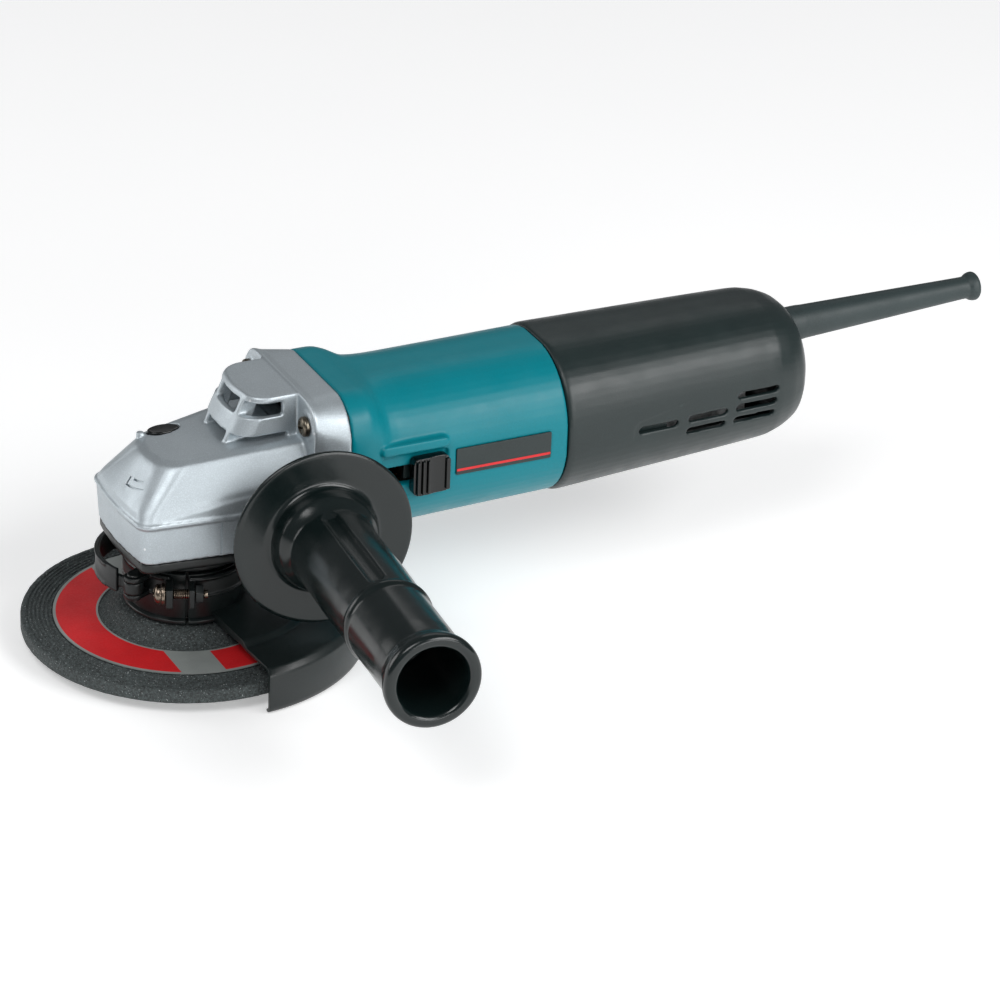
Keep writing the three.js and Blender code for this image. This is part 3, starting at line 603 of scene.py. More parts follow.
GRIT = abrasive("abrasive", (0.045, 0.055, 0.055))
RED = printed("label_red", (0.62, 0.012, 0.016))
GREY = printed("label_grey", (0.26, 0.28, 0.27))
LAMINATED = laminated("dark_steel_sheets", (0.2, 0.2, 0.2))


# ---- gear housing ----
def head_levels():
    """Levels of the head: nose, half width, flare, height, rise, corner radius, growth."""
    levels = [
        [FRONT_X, 24, 0.1, HOUSING_Z, 0, 5, 0],
        [FRONT_X - 1, 24.4, 0.1, 55.9, 0, 5, 0],
        [FRONT_X - 1, 24.4, 0.1, 56.1, 0, 5, 0.8],
        [FRONT_X - 1, 24.4, 0.1, 57.5, 0, 5, 0.8],
        [FRONT_X - 0.8, 24.2, 0.1, 57.9, 0, 5, 0],
        [FRONT_X - 0.2, 22.4, 0.14, 61.8, 0.13, 6.5, 0],
        [-18.2, 17, 0.155, 74.6, 0.105, 11, 0],
        [-15, 13.6, 0.155, 75.5, 0.1, 9, 0],
    ]
    levels = softened(levels, 6, 0.16, 5)
    return softened(levels, 5, 0.14, 4)


def head_shell():
    return loft([head_ring(*level) for level in head_levels()])


def tower_ring(nose, half, height, rear=40):
    return head_ring(nose, half, 0, height, corner=9, rear=rear)


def tower():
    return loft([
        tower_ring(8.2, 17.4, 75.5),
        tower_ring(17, 16.7, TOWER_TOP - 2),
        tower_ring(17.6, 16.6, TOWER_TOP - 0.7),
        tower_ring(18.3, 16.1, TOWER_TOP),
    ])


def tower_walls():
    """The tower, hollow inside, with two long windows one above the other."""
    hollow = loft([tower_ring(11.4, 14.8, 79.2, 60), tower_ring(19.4, 14.2, TOWER_TOP - 2.2, 60)])
    windows = [loft([tower_ring(0, 25, low, rear), tower_ring(0, 25, high, rear)])
               for low, high, rear in ((76.6, 82.6, 33.4), (89.6, TOWER_TOP - 2.6, 31.4))]
    return carve(to_object("tower", to_outward(tower())), [hollow, *windows])


def tower_struts():
    """Two upright ribs across the tower's windows, with the room behind them left free."""
    bars = [box(5, 30, y - 1.2, y + 1.2, 70, TOWER_TOP) for y in (-9, 9)]
    behind = loft([tower_ring(13.6, 14.8, 70, 60), tower_ring(23.4, 14.2, TOWER_TOP, 60)])
    obj = carve(to_object("struts", joined(bars)), [tower()], "INTERSECT")
    return carve(obj, [behind])


def across(shape, y, z):
    """A body along Z laid along +X, at a place on the flange."""
    return moved(turned(shape, "Y", 90), y=y, z=z)


def screw_holes(x0, x1):
    return [across(rod(2.8, x0, x1), y, z) for y, z in FLANGE_SCREWS]


def casting_solids():
    flange = loft([
        section(FLANGE_X, 32.4, 31.1, 10.5, 66.3),
        section(FLANGE_X + 0.7, 33, 31.8, 11, 66.3),
        section(41, 33.5, 31.4, 12.5, 65.9),
        section(JOINT_X, *FLANGE),
    ])
    seats = [placed(lathe([(0, -14), (12, -14), (10.6, 0), (0, 0)]), handle_frame(side)) for side in (-1, 1)]
    pads = [across(rod(5.2, 36.6, 38), y, z) for y, z in FLANGE_SCREWS]
    nub = moved(rod(1.6, 73, 77.4, edge=0.5), x=-13.5, y=13)
    return [head_shell(), flange, *seats, *pads, nub]


def casting_rooms():
    """Cut out of the casting: handle threads, rooms for gears, air, screws and the lock button."""
    tapped = [placed(rod(4.3, -15.5, 1), handle_frame(side)) for side in (-1, 1)]
    gear_room = lathe([(0, 30), (21.4, 30), (21.4, 62.4), (11, 62.4), (7.3, 63.6), (7.3, 73.6), (0, 73.6)])
    pinion_room = on_motor_axis(lathe([(0, 3), (8.2, 3), (8.2, 27.7), (13.3, 27.7), (13.3, 36.3), (9, 36.3),
                                       (9, 42), (25.8, 42), (25.8, 60), (0, 60)]))
    air_way = box(34, 44, -12, 12, 80, 90)
    access = [across(rod(4.4, 27, 36.6), y, z) for y, z in FLANGE_SCREWS[2:]]
    x, y, _ = centre_of("shaft_lock_button")
    button_room = moved(placed(rod(1, 68.7, 90), Matrix.Diagonal((6.6, 3.8, 1, 1))), x, y)
    return [*tapped, gear_room, pinion_room, air_way, *screw_holes(30, 60), *access, button_room]


def arrow_groove(r0, r1, a0, a1):
    """Shallow curved line pressed into the front slope."""
    arc = lathe([(r0, -0.8), (r1, -0.8), (r1, 1.5), (r0, 1.5)], 24, (a0, a1))
    return moved(turned(arc, "Y", -56), x=-8.3, z=89.6)


def gear_housing():
    voxel = 0.42
    body = to_object("gear_casting", joined(casting_solids()))
    for extra in (tower_walls(), tower_struts()):
        merge(body, extra)
    remesh(body, voxel)
    remesh(carve(body, casting_rooms()), voxel)
    smoothed(body, 4)
    arrow = [arrow_groove(29.5, 30.3, 184, 206), arrow_groove(26.5, 27.3, 190, 203),
             arrow_groove(26.5, 29.6, 184, 186)]
    seam = box(2.5, 3.1, -32, -26.2, 42, 55.2)
    carve(body, [*arrow, seam])
    piece(body, SILVER, MACHINE, "gear_housing", angle=60)


def bearing_retainer():
    def outline(grow, height):
        return head_ring(FRONT_X, 24, 0.1, height, grow=grow, rear=32)
    plate = loft([outline(-1.2, 36.6), outline(-0.5, 37), outline(-0.3, 37.8), outline(-0.3, 40.7)])
    neck = lathe(fillet([(9.7, 20.4), (18, 20.4), (18, 13), (20, 13), (20, 38), (9.7, 38)], 0.4, closed=True))
    rim = tube(19.5, 22.4, 33.6, 37)
    holes = [moved(rod(2.7, 30, 45), x, y) for x, y in PLATE_SCREWS]
    bore = lathe([(0, 22.6), (16.3, 22.6), (16.3, 45), (0, 45)])
    obj = cast("retainer_plate", [plate, neck, rim], [bore, rod(9.7, 15, 30), *holes], 0.45, 2)
    piece(obj, BLACK_STEEL, MACHINE, "bearing_retainer", angle=60)


# ---- screws ----
def cross_screw(name, head_r, head_h, shank_r, length):
    """Domed head with a cross recess, and a threaded shank down -Z."""
    dome = [(head_r * math.sin(math.radians(a)), head_h * (0.35 + 0.65 * math.cos(math.radians(a))))
            for a in range(0, 91, 15)]
    thread = []
    pitch = 0.8
    for i in range(int((length - 1) / pitch)):
        z = -1 - i * pitch
        thread += [(shank_r, z), (shank_r - 0.35, z - pitch / 2)]
    profile = dome + [(head_r, 0), (shank_r, 0)] + thread + [(shank_r - 0.4, -length), (0, -length)]
    obj = to_object(name, lathe(profile, 40))
    arm = box(-head_r * 0.62, head_r * 0.62, -head_r * 0.13, head_r * 0.13, head_h * 0.42, head_h + 1)
    arms = [turned(arm, "Z", a) for a in (0, 90)]
    cone = lathe([(0, head_h * 0.2), (head_r * 0.3, head_h + 1), (0, head_h + 1)], 16)
    return bevelled(carve(obj, [*arms, cone]), 0.12, 2)


def place(obj, matrix):
    obj.data.transform(matrix)
    return obj


def at(x, y, z):
    return Matrix.Translation(Vector((x, y, z)) * MM)


def flange_screws():
    length = 23
    face = corners("housing_screw_1")[1][0]
    for i, (y, z) in enumerate(FLANGE_SCREWS):
        screw = cross_screw(f"flange_screw_{i + 1}", 3.9, 2.6, 2.5, length)
        turn = Matrix.Rotation(math.radians(20 + 37 * i), 4, "Z")
        place(screw, at(face - length, y, z) @ Matrix.Rotation(-math.pi / 2, 4, "Y") @ turn)
        piece(screw, DARK_STEEL, MACHINE, f"housing_screw_{i + 1}")


def screw_from_below(name, node, x, y, head_r, head_h, shank_r, length):
    """Screw with its head down; its tip ends where the CAD node's does."""
    screw = cross_screw(name, head_r, head_h, shank_r, length)
    seat = corners(node)[1][2] - length
    place(screw, at(x, y, seat) @ Matrix.Rotation(math.pi, 4, "X"))
    piece(screw, DARK_STEEL, MACHINE, node)


def lower_screws():
    for i, (x, y) in enumerate(PLATE_SCREWS, 1):
        screw_from_below(f"plate_screw_{i}", f"retainer_screw_{i}", x, y, 3.6, 2.6, 2, 13)
    screw_from_below("tail_screw", "cover_screw", centre_of("cover_screw")[0], 0, 3.5, 1.2, 1.6, 7)


# ---- wheel, label, flange, nut ----
def wheel():
    """Depressed-centre wheel: pressed rings on the rim, grainy all over."""
    random.seed(7)
    bore = 11.15
    ring_step = 1.6
    top = [(WHEEL_R, WHEEL_T - 0.7), (WHEEL_R - 0.3, WHEEL_T - 0.2), (WHEEL_R - 1, WHEEL_T)]
    for i in range(1, 8):
        r = WHEEL_R - i * ring_step
        top += [(r, WHEEL_T + 0.1), (r - 0.5, WHEEL_T + 0.05), (r - 0.8, WHEEL_T - 0.45),
                (r - 1.1, WHEEL_T - 0.4)]
    top += [(50.4, WHEEL_T + 0.1), (42, WHEEL_T + 0.1), (33, WHEEL_T + 0.1)]
    dome = fillet([(33, WHEEL_T + 0.1), (30, 6.6), (25.5, 10.2), (22.5, HUB_TOP), (bore, HUB_TOP)], 3, 5)
    under = [(bore, 5.3), (15.6, 5.3), (20, 5.3), (22.5, 3.9), (25, 1.6), (27.5, 0.1)]
    under += [(r, 0) for r in (30, 36, 42, 48, 54, 59, WHEEL_R - 0.3)]
    under += [(WHEEL_R, z) for z in (0.4, 1.6, 3, 4)]
    points, faces = lathe(under + top + dome[1:], 300)
    rough = []
    for x, y, z in points:
        r = math.hypot(x, y)
        step = random.uniform(-0.09, 0.09)
        lift = random.uniform(-0.08, 0.02) if z < HUB_TOP - 0.1 and r > 17 and 0.05 < z else 0
        scale = 1 + (step / r if 24 < r < WHEEL_R - 0.05 else min(0, step) / r)
        rough.append((x * scale, y * scale, z + lift))
    obj = to_object("wheel_disc", (rough, faces))
    piece(obj, GRIT, SPINDLE, "grinding_wheel", angle=50)


def label():
    """Red ring with thin grey borders and straight grey panels, left blank."""
    low = WHEEL_T + 0.12
    inner, outer = 34, 49.2
    borders = [tube(r0, r1, low, LABEL_TOP - 0.04, 180)
               for r0, r1 in ((inner - 0.8, inner), (outer, LABEL_R))]
    red = tube(inner, outer, low, LABEL_TOP - 0.06, 180)
    panels = [ring_strip(x0, x1, side, inner, outer, low, LABEL_TOP)
              for side in (-1, 1) for x0, x1 in ((-20.5, -4.5), (10.1, 10.9))]
    obj = to_object("ring_label", joined([red, *borders, *panels]))
    piece(obj, [RED, GREY], SPINDLE, "wheel_label", angle=40)
    for i, face in enumerate(obj.data.polygons):
        face.material_index = 0 if i < len(red[1]) else 1


def ring_strip(x0, x1, side, inner, outer, z0, z1):
    """Part of a flat ring between two lines across X."""
    steps = [x0 + (x1 - x0) * i / 8 for i in range(9)]
    outline = [(x, side * math.sqrt(outer ** 2 - x ** 2)) for x in steps]
    outline += [(x, side * math.sqrt(inner ** 2 - x ** 2)) for x in reversed(steps)]
    return prism(outline, z0, z1)


def wheel_fixings():
    flange = fillet([(7.4, HUB_TOP + 0.3), (17.5, HUB_TOP + 0.3), (17.5, 14.2), (13, 19.2), (9.7, 19.2),
                     (9.7, 17.3), (7.4, 14.2)], 0.4, closed=True)
    piece(to_object("flange_washer", lathe(flange)), STEEL, SPINDLE, "inner_flange")
    nut = fillet([(7.3, 0.7), (15.5, 0.7), (17, 1.6), (17, 5), (10.8, 5), (10.8, 8.4), (7.3, 8.4)], 0.4,
                 closed=True)
    obj = to_object("pin_nut", lathe(nut))
    carve(obj, [moved(rod(2.3, 0, 3.4, 24), *polar(12, a)) for a in ring_of(4)])
    piece(bevelled(obj, 0.2, 2), DARK_STEEL, SPINDLE, "lock_nut")
    thread = []
    for i in range(14):
        thread += [(7, 1 + i * 0.95), (6.5, 1.45 + i * 0.95)]
    shaft = [(0, 0), (6.3, 0)] + thread + [(7, 14.4), (9.2, 17), (9.2, 24.2), (6, 24.2), (6, 59), (4, 60),
                                           (4, 72.4), (0, 72.4)]
    piece(to_object("output_shaft", lathe(shaft, 64)), STEEL, SPINDLE, "spindle")


# ---- guard and clamp ----
def guard():
    neck_in, neck_out = 20.4, 22.2
    inside = [(neck_in, 12.1), (46, 12.6), (48, 12), (65.6, 12), (67.3, 10.2), (67.3, -3.2), (65.9, -3.9)]
    outside = [(66.1, GUARD_FLOOR), (68, GUARD_FLOOR + 0.3), (GUARD_R, -3), (GUARD_R, 10.6), (66.4, 13.4),
               (49, 13.4), (46.8, 15.2), (neck_in, 15.6)]
    profile = fillet(inside + outside, 0.9, 4, closed=True)
    hood = lathe(profile, 150, (-86, 86))
    half_slit = math.degrees(0.5 / 21)
    neck_top = CLAMP_Z + 9.4
    sweep = (SLIT_ANGLE + half_slit, SLIT_ANGLE + 360 - half_slit)
    wall = [(neck_in, 12), (neck_out, 12), (neck_out, neck_top), (neck_in, neck_top)]
    neck = lathe(fillet(wall, 0.5, 3, closed=True), 160, sweep)
    foot = [(22, 12), (23.6, 12), (23.6, 13.2), (22, 14.2)]
    collar = lathe(fillet(foot, 0.3, 3, closed=True), 160, sweep)
    obj = to_object("guard_hood", joined([hood, neck, collar]))
    piece(bevelled(obj, 0.35, 3, 60), BLACK_PAINT, GUARD, "wheel_guard")


def band():
    low, high = CLAMP_Z, CLAMP_Z + CLAMP_H
    strip = lathe([(22.5, low), (24, low), (24, high), (22.5, high)], 120, (SLIT_ANGLE + 2, SLIT_ANGLE + 344))
    lugs = [turned(box(21.6, 32, y0, y1, low, high - 1), "Z", SLIT_ANGLE)
            for y0, y1 in ((-8, -5.3), (0.6, 2.8))]
    reach = math.hypot(PIVOT_X, PIVOT_Y)
    aim = math.degrees(math.atan2(PIVOT_Y, PIVOT_X))
    ears = []
    holes = []
    for z0, z1 in ((low, low + 1.8), (high - 1.8, high)):
        ears.append(turned(box(22.8, reach, -3.6, 3.6, z0, z1), "Z", aim))
        ears.append(moved(rod(3.6, z0, z1), PIVOT_X, PIVOT_Y))
        holes.append(moved(rod(1.9, z0 - 1, z1 + 1), PIVOT_X, PIVOT_Y))
    ribs = [lathe([(23.6, z), (24.5, z + 0.5), (24.5, z + 0.9), (23.6, z + 1.4)], 100,
                  (SLIT_ANGLE + 8, SLIT_ANGLE + 338)) for z in (low + 0.2, high - 1.6)]
    screw_hole = moved(turned(rod(2.4, -10, 10), "X", 90), x=CLAMP_SCREW_R, z=low + CLAMP_H / 2)
    cuts = [turned(screw_hole, "Z", SLIT_ANGLE), *holes, rod(22.46, 0, 60, 120)]
    obj = cast("clamp_strap", [strip, *lugs, *ears, *ribs], cuts, 0.3, 2)
    piece(obj, BLACK_STEEL, GUARD, "guard_band", angle=60)


def lever():
    """Bent strap with turned lips, hooked to an eye on the hinge pin."""
    low, high = CLAMP_Z + 0.4, CLAMP_Z + 10
    arc = lathe([(24.1, low), (25.7, low), (25.7, high), (24.1, high)], 60, (LEVER_TIP, 204))
    tip = moved(rod(1.5, low, high), *polar(24.9, LEVER_TIP))
    lips = [lathe([(25, z), (26.1, z), (26.1, z + 1), (25, z + 1)], 60, (LEVER_TIP + 2, 190))
            for z in (low + 0.1, high - 1.1)]
    arc, tip, *lips = [moved(shape, *LEVER_PLACE) for shape in (arc, tip, *lips)]
    eye = moved(rod(3.7, *LEVER_EYE), PIVOT_X, PIVOT_Y)
    hook = moved(turned(box(-3.2, 6, -0.9, 0.9, *LEVER_EYE), "Z", 118), PIVOT_X - 1.2, PIVOT_Y + 3)
    bore = moved(rod(1.9, 15, 40), PIVOT_X, PIVOT_Y)
    obj = cast("lever_strap", [arc, hook, eye, tip, *lips], [bore], 0.28, 2)
    piece(obj, BLACK_STEEL, "lever_group", "clamp_lever", angle=60)


def lever_pin():
    profile = fillet([(0, -0.8), (2.8, -0.8), (2.8, -0.3), (1.6, -0.3), (1.6, 9.1), (2.6, 9.1), (2.2, 9.7),
                      (0, 9.8)], 0.25)
    obj = to_object("hinge_pin", moved(lathe(profile, 40), PIVOT_X, PIVOT_Y, CLAMP_Z))
    piece(obj, BLACK_STEEL, GUARD, "lever_pin")


def clamp_frame():
    """Local Z runs along the clamp screw, across the slit."""
    x, y = polar(CLAMP_SCREW_R, SLIT_ANGLE)
    turn = Matrix.Rotation(math.radians(SLIT_ANGLE + 90), 4, "Z") @ Matrix.Rotation(-math.pi / 2, 4, "Y")
    return at(x, y, CLAMP_Z + CLAMP_H / 2) @ turn


def clamp_fixings():
    screw = cross_screw("strap_screw", 3.8, 2.8, 2, 17.5)
    place(screw, clamp_frame() @ at(0, 0, 9.9))
    piece(screw, CLAMP_STEEL, GUARD, "clamp_screw")
    ring = to_object("strap_washer", tube(2.3, 4.2, 8.3, 9.6, 48, edge=0.25))
    piece(place(ring, clamp_frame()), CLAMP_STEEL, GUARD, "clamp_washer")
    hexagon = [polar(3.7, a) for a in ring_of(6)]
    nut = to_object("strap_nut", prism(hexagon, -6, -3.1))
    carve(nut, [rod(2.25, -20, 20, 32)])
    piece(place(bevelled(nut, 0.3, 3), clamp_frame()), BLACK_STEEL, GUARD, "clamp_nut")


# ---- motor housing, switch and name plate ----
# x, half width, half height, corner radius, centre height
SHELL = [
    [JOINT_X + 0.3, *FLANGE],
    [60.6, *FLANGE],
    [64.4, 32.9, 30.9, 18, 64.8],
    [70, 32.6, 30.8, 27.8, 63.9],
    [106, 32.5, 30.5, 27.8, 64.6],
    [COVER_X - 0.3, 32.4, 30.2, 27.5, 65.3],
]


def motor_housing():
    levels = softened(softened(SHELL, 3, 0.4, 4), 1, 0.35, 4)
    shell = loft([section(*level) for level in levels])
    barrel = on_motor_axis(rod(27.4, 130, 178, 96))
    ridge = slot_shape(64.5, 92.5, 75.3, 4, -34.4, -24)
    bore = on_motor_axis(lathe([(0, 40), (25.9, 40), (25.9, 53.4), (27.4, 53.4), (27.4, 131), (25.6, 131),
                                (25.6, 156.4), (11.2, 156.4), (11.2, 168), (25.6, 168), (25.6, 190),
                                (0, 190)]))
    recess = box(65, 92.6, -40, -30.8, 53.6, 71.9)
    passage = box(66, 190, -31.2, -24, 58.8, 66.8)
    pocket = box(PLATE_LOW[0] - 0.3, PLATE_HIGH[0] + 0.3, -40, -31.9, PLATE_LOW[2] - 0.3, PLATE_HIGH[2] + 0.3)
    vents = [box(156.4, 168, y - 1.2, y + 1.2, MOTOR_Z - 16, MOTOR_Z + 16) for y in (-18, 18)]
    obj = cast("motor_shell", [shell, barrel, ridge],
               [bore, recess, passage, *screw_holes(40, 60), pocket, *vents], 0.55, 4)
    piece(obj, TEAL, MACHINE, "motor_housing", angle=60)


def rounded_block(x0, x1, z0, z1, y0, y1, r):
    outline = fillet([(x0, z0), (x1, z0), (x1, z1), (x0, z1)], r, 6, closed=True)
    return loft([[(x, y, z) for x, z in outline] for y in (y0, y1)])


def knob():
    x0, _, z0 = KNOB_LOW
    x1, _, z1 = KNOB_HIGH
    body = rounded_block(x0, x1, z0, z1, -35.2, -31.2, 2.6)
    ribs = [rounded_block(x, x + 0.95, z0 + 0.8, z1 - 0.8, -36.6, -34, 0.4)
            for x in (x0 + 1 + 2.2 * i for i in range(3))]
    back = rounded_block(x1 - 1.8, x1 - 0.2, z0 + 1.2, z1 - 1.2, -36.2, -34, 0.5)
    tang = box(x0 + 1.8, x0 + 10.8, -31.5, -29.9, 60.4, 65.2)
    scoop = moved(rod(16, 54, 72, 120), x=88, y=-50.6)
    obj = to_object("slide_knob", to_outward(body))
    carve(obj, [scoop])
    merge(obj, to_object("part", joined([*ribs, back, tang])))
    smoothed(remesh(obj, 0.22), 3)
    piece(obj, KNOB, "switch_slider", "switch_knob", angle=60)


def name_plate():
    low, high = PLATE_LOW, PLATE_HIGH
    plate = to_object("plate", rounded_block(low[0], high[0], low[2], high[2], low[1], high[1], 0.6))
    line = to_object("plate_line", rounded_block(low[0] + 0.3, high[0] - 0.3, low[2] + 1.5, low[2] + 2.5,
                                                 low[1] - 0.06, low[1] + 0.2, 0.2))
    piece(bevelled(plate, 0.15, 3), COVER, MACHINE, "name_plate")
    line.data.materials.append(RED)
    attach(line, MACHINE)


# ---- rear cover and cord guard ----
# x, half width, half height, corner radius, centre height
TAIL = [
    [COVER_X, 32.6, 30, 27.5, 65.3],
    [COVER_X + 0.9, 33.2, 30.6, 28, 65.3],
    [COVER_X + 2, 33.4, 30.8, 28, 65.3],
    [236, 29.8, 28.5, 26, 67.6],
    [243.5, 28.2, 27, 25.5, 67.8],
    [249.5, 25.2, 24.4, 23, 67.8],
    [253, 20.6, 20, 19, 67.8],
    [TAIL_X, 15, 14.6, 14, 67.6],
]
# front end, rear end and height of each louvre
LOUVRES = [(217.8, 236.2, 69.4), (217.2, 235.6, 64.3), (216.6, 235, 59.2), (196, 213.4, 63.9),
           (195.4, 212.8, 58.8), (174, 191.4, 63.3)]


def on_cord_axis(shape):
    return moved(turned(shape, "Y", 90 - CORD_TILT), x=TAIL_X, z=CORD_Z)


def rear_cover():
    wall = 2.6
    levels = TAIL
    for index in (6, 5, 4, 3):
        levels = softened(levels, index, 0.45, 4)
    outer = loft([section(*level) for level in levels])
    hollow = loft([
        section(COVER_X - 1, 30.2, 28.6, 28.3, 65.4),
        section(186, 29.6, 28.4, 27.7, 65.9),
        *[section(x - wall, a - wall, b - wall, r - wall, z) for x, a, b, r, z in TAIL[3:]],
    ])
    louvre_h = 2.6
    slots = [slot_shape(x0, x1, z, louvre_h, y0, y1, 0.25)
             for x0, x1, z in LOUVRES for y0, y1 in ((-40, -20), (20, 40))]
    panels = [louvre_panel(side) for side in (-1, 1)]
    screw_x = centre_of("cover_screw")[0]
    holes = [moved(rod(2.3, 20, 50), x=screw_x), moved(rod(4, 20, 36.5), x=screw_x)]
    cord_hole = on_cord_axis(rod(7.3, -30, 30))
    obj = cast("tail_shell", [outer], [hollow, *slots, *panels, cord_hole, *holes], 0.55, 3)
    piece(obj, COVER, MACHINE, "rear_cover", angle=60)


def louvre_panel(side):
    """Very shallow recessed field around the louvres."""
    outline = fillet([(171, 57), (240, 56.6), (240.6, 74.6), (208, 74.4), (172, 67)], 3, 5, closed=True)
    depth = [side * (33.4 - 0.038 * (x - 145) - 0.35) for x, _ in outline]
    inner = [(x, y, z) for (x, z), y in zip(outline, depth)]
    outer = [(x, side * 40, z) for x, z in outline]
    return loft([inner, outer] if side > 0 else [outer, inner])


def cord_guard():
    profile = [(3.4, -13), (9, -13), (9, -9.6), (6.9, -9), (6.9, 4.5), (6.85, 6)]
    profile += [(6.7 - 0.031 * t, t + 7) for t in range(0, 74, 4)]
    profile += [(4.5, 81.4), (5.4, 82.6), (5.8, 84), (5.8, 85.2), (5, 86.2), (3.4, 86.2)]
    obj = to_object("cord_sleeve", on_cord_axis(lathe(fillet(profile, 0.5, 3, closed=True), 72)))
    piece(obj, RUBBER, MACHINE, "cord_guard")


# ---- side handle ----
def side_handle():
    collar = [(0, 26.6), (4.3, 26.6), (4.3, 0.3), (11, 0.3), (11.6, 10.8), (34.2, 12.7), (35, 13.6),
              (34.6, 14.7), (33.4, 15), (22.4, 14.4), (20.7, 15.4), (20.4, 18), (19.4, 21.4), (17.6, 23.8)]
    barrel = [(16.5, 25.6), (16.3, 28), (16.6, 60), (16.3, 85.4), (16.9, 86.2), (17.2, 87.2), (17, 88.6),
              (16.2, 89.6), (16.2, 118), (15.9, 126.2)]
    lip = [(16.9, 129), (18, 131.4), (18.3, 133.6), (17.9, 135.4), (16.6, 136.2), (14.6, 136.2),
           (13.4, 135.2), (13, 132), (12.9, 96), (0, 96)]
    grip = to_object("side_grip", lathe(fillet(collar + barrel + lip, 0.9, 4), 160))
    carve(grip, [turned(grip_groove(), "Z", a) for a in ring_of(3, 95)])
    smoothed(remesh(grip, 0.5), 4)
    in_metres = handle_frame()
    in_metres.translation *= MM
    piece(place(grip, in_metres), GRIP, MACHINE, "side_handle", angle=60)


def grip_groove():
    """Long shallow trough with a round floor, at the grip's surface."""
    outline = fillet([(14.9, -2.6), (19, -4.2), (19, 4.2), (14.9, 2.6)], 1.4, 5, closed=True)
    ends = [(26, 0.3), (29, 1.0), (82, 1.0), (84.6, 0.3)]
    rings = []
    for z, scale in ends:
        shift = (1 - scale) * 2
        rings.append([(x + shift, y * max(scale, 0.4), z) for x, y in outline])
    return loft(rings)


def handle_stud():
    thread = []
    for i in range(24):
        thread += [(4, -10.6 + i * 1.2), (3.6, -10 + i * 1.2)]
    profile = [(0, -12), (3.4, -12)] + thread + [(4, 24), (4, 25.6), (0, 25.6)]
    obj = to_object("grip_stud", placed(lathe(profile, 40), handle_frame()))
    piece(obj, STEEL, MACHINE, "handle_stud")


def lock_button():
    """Oval button with rounded edges, hollow over its pin."""
    x, y, _ = centre_of("shaft_lock_button")
    half_x, half_y, _ = (BUTTON_HIGH - BUTTON_LOW) / 2
    low, high = BUTTON_LOW[2], BUTTON_HIGH[2]
    profile = fillet([(0, low), (1, low), (1, high - 0.3), (0.92, high), (0, high)], 0.2, 4)
    shape = placed(lathe(profile, 72), Matrix.Diagonal((half_x, half_y, 1, 1)))
    obj = to_object("lock_cap", moved(shape, x, y))
    carve(obj, [moved(rod(2.05, 70, 76.3, 32), PIN_X, PIN_Y)])
    piece(obj, KNOB, "lock_button_group", "shaft_lock_button")


# ---- inner pieces: the CAD's own meshes, with eased edges ----
INNER = {
    STEEL: ["spindle_bearing_outer", "spindle_bearing_inner", "spindle_bearing_balls", "spindle_top_bearing",
            "drive_gear", "shaft_lock_pin", "shaft_lock_spring", "armature_shaft", "pinion", "pinion_nut",
            "front_bearing_outer", "front_bearing_inner", "rear_bearing_outer", "rear_bearing_inner"],
    PALE: ["fan"],
    LAMINATED: ["armature_core", "stator_core"],
    COPPER: ["armature_windings", "commutator", "field_coil_upper", "field_coil_lower"],
    BRASS: ["brush_holder_left", "brush_holder_right"],
    CARBON: ["carbon_brush_left", "carbon_brush_right"],
    COVER: ["air_baffle", "switch_rod"],
    ALUMINIUM: ["switch_body"],
}


def dress_inner_nodes():
    for material, names in INNER.items():
        for name in names:
            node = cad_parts[name]
            node.data.materials.clear()
            node.data.materials.append(material)
            add_bevel(node, 0.15, 2, 35)


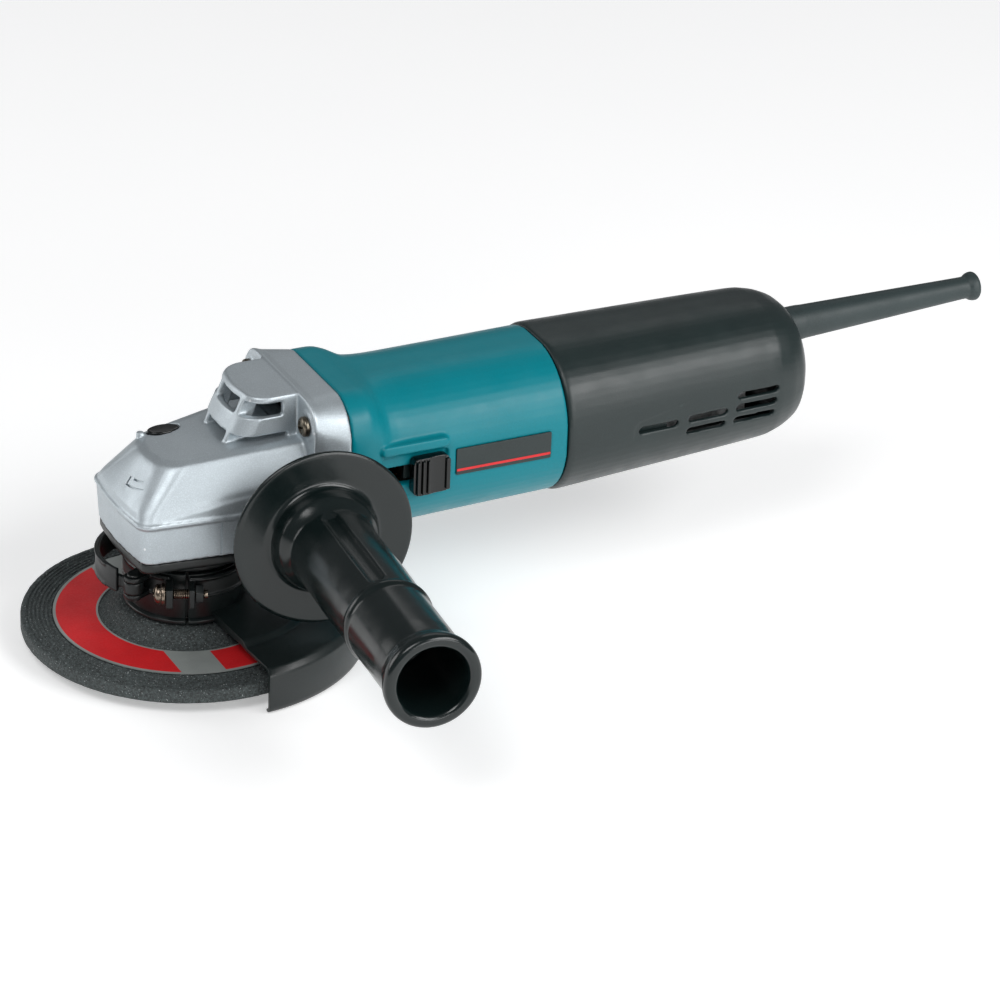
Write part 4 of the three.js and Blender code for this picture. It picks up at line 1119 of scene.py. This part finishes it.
# ---- stage ----
def photo_camera():
    """Long lens on the handle's side, above and a little ahead, rolled as in the photograph."""
    azimuth, elevation, roll = (math.radians(a) for a in (-26.994, 27.094, -2.218))
    x, y, z = (-0.6510, -1.5364, 0.9090)
    right = Vector((math.cos(azimuth), math.sin(azimuth), 0))
    back = Vector((math.sin(azimuth) * math.cos(elevation), -math.cos(azimuth) * math.cos(elevation),
                   math.sin(elevation)))
    up = back.cross(right)
    level_right = right * math.cos(roll) - up * math.sin(roll)
    level_up = right * math.sin(roll) + up * math.cos(roll)
    camera = bpy.data.objects.new("camera", bpy.data.cameras.new("camera"))
    camera.data.sensor_width = 36
    camera.data.lens = 179.9
    camera.data.clip_end = 50
    camera.matrix_world = Matrix((
        (level_right.x, level_up.x, back.x, x),
        (level_right.y, level_up.y, back.y, y),
        (level_right.z, level_up.z, back.z, z),
        (0, 0, 0, 1),
    ))
    bpy.context.scene.collection.objects.link(camera)
    bpy.context.scene.camera = camera


def area_light(name, place_at, target, size, power):
    light = bpy.data.lights.new(name, "AREA")
    light.shape = "RECTANGLE"
    light.size, light.size_y = size
    light.energy = power
    obj = bpy.data.objects.new(name, light)
    obj.location = place_at
    obj.rotation_euler = (Vector(target) - Vector(place_at)).to_track_quat("-Z", "Y").to_euler()
    bpy.context.scene.collection.objects.link(obj)


def studio():
    centre = (0.1, 0, 0.06)
    area_light("key", (0.9, -1.3, 1.2), centre, (1.4, 0.7), 20)
    area_light("front", (0.5, -1.7, 0.45), centre, (1.4, 0.45), 9)
    area_light("top_left", (-0.8, -0.7, 1.4), centre, (0.9, 0.7), 10.5)
    area_light("left", (-1.1, 0.9, 0.5), centre, (0.9, 0.7), 5)
    area_light("rear", (0.9, 1.3, 1.3), centre, (1.2, 0.6), 1.5)
    world = bpy.data.worlds.new("studio")
    world.use_nodes = True
    background = world.node_tree.nodes["Background"]
    background.inputs["Color"].default_value = (0.95, 0.97, 1.0, 1)
    background.inputs["Strength"].default_value = 0.17
    bpy.context.scene.world = world
    half = 4000
    floor = to_object("floor", box(-half, half, -half, half, -25, -5.2))
    n = Nodes("floor")
    n.link(n.mix(n.ramp(n.noise(3, 3), 0.3, 0.7), (0.93, 0.93, 0.93), (0.95, 0.95, 0.95)),
           n.shader.inputs["Base Color"])
    n.shader.inputs["Roughness"].default_value = 0.7
    n.shader.inputs["Emission Color"].default_value = (1, 1, 1, 1)
    n.shader.inputs["Emission Strength"].default_value = 0.34
    floor.data.materials.append(n.material)
    bpy.context.scene.view_settings.view_transform = "Standard"


gear_housing()
bearing_retainer()
flange_screws()
lower_screws()
wheel()
label()
wheel_fixings()
guard()
band()
lever()
lever_pin()
clamp_fixings()
motor_housing()
knob()
name_plate()
rear_cover()
cord_guard()
side_handle()
handle_stud()
lock_button()
dress_inner_nodes()
photo_camera()
studio()
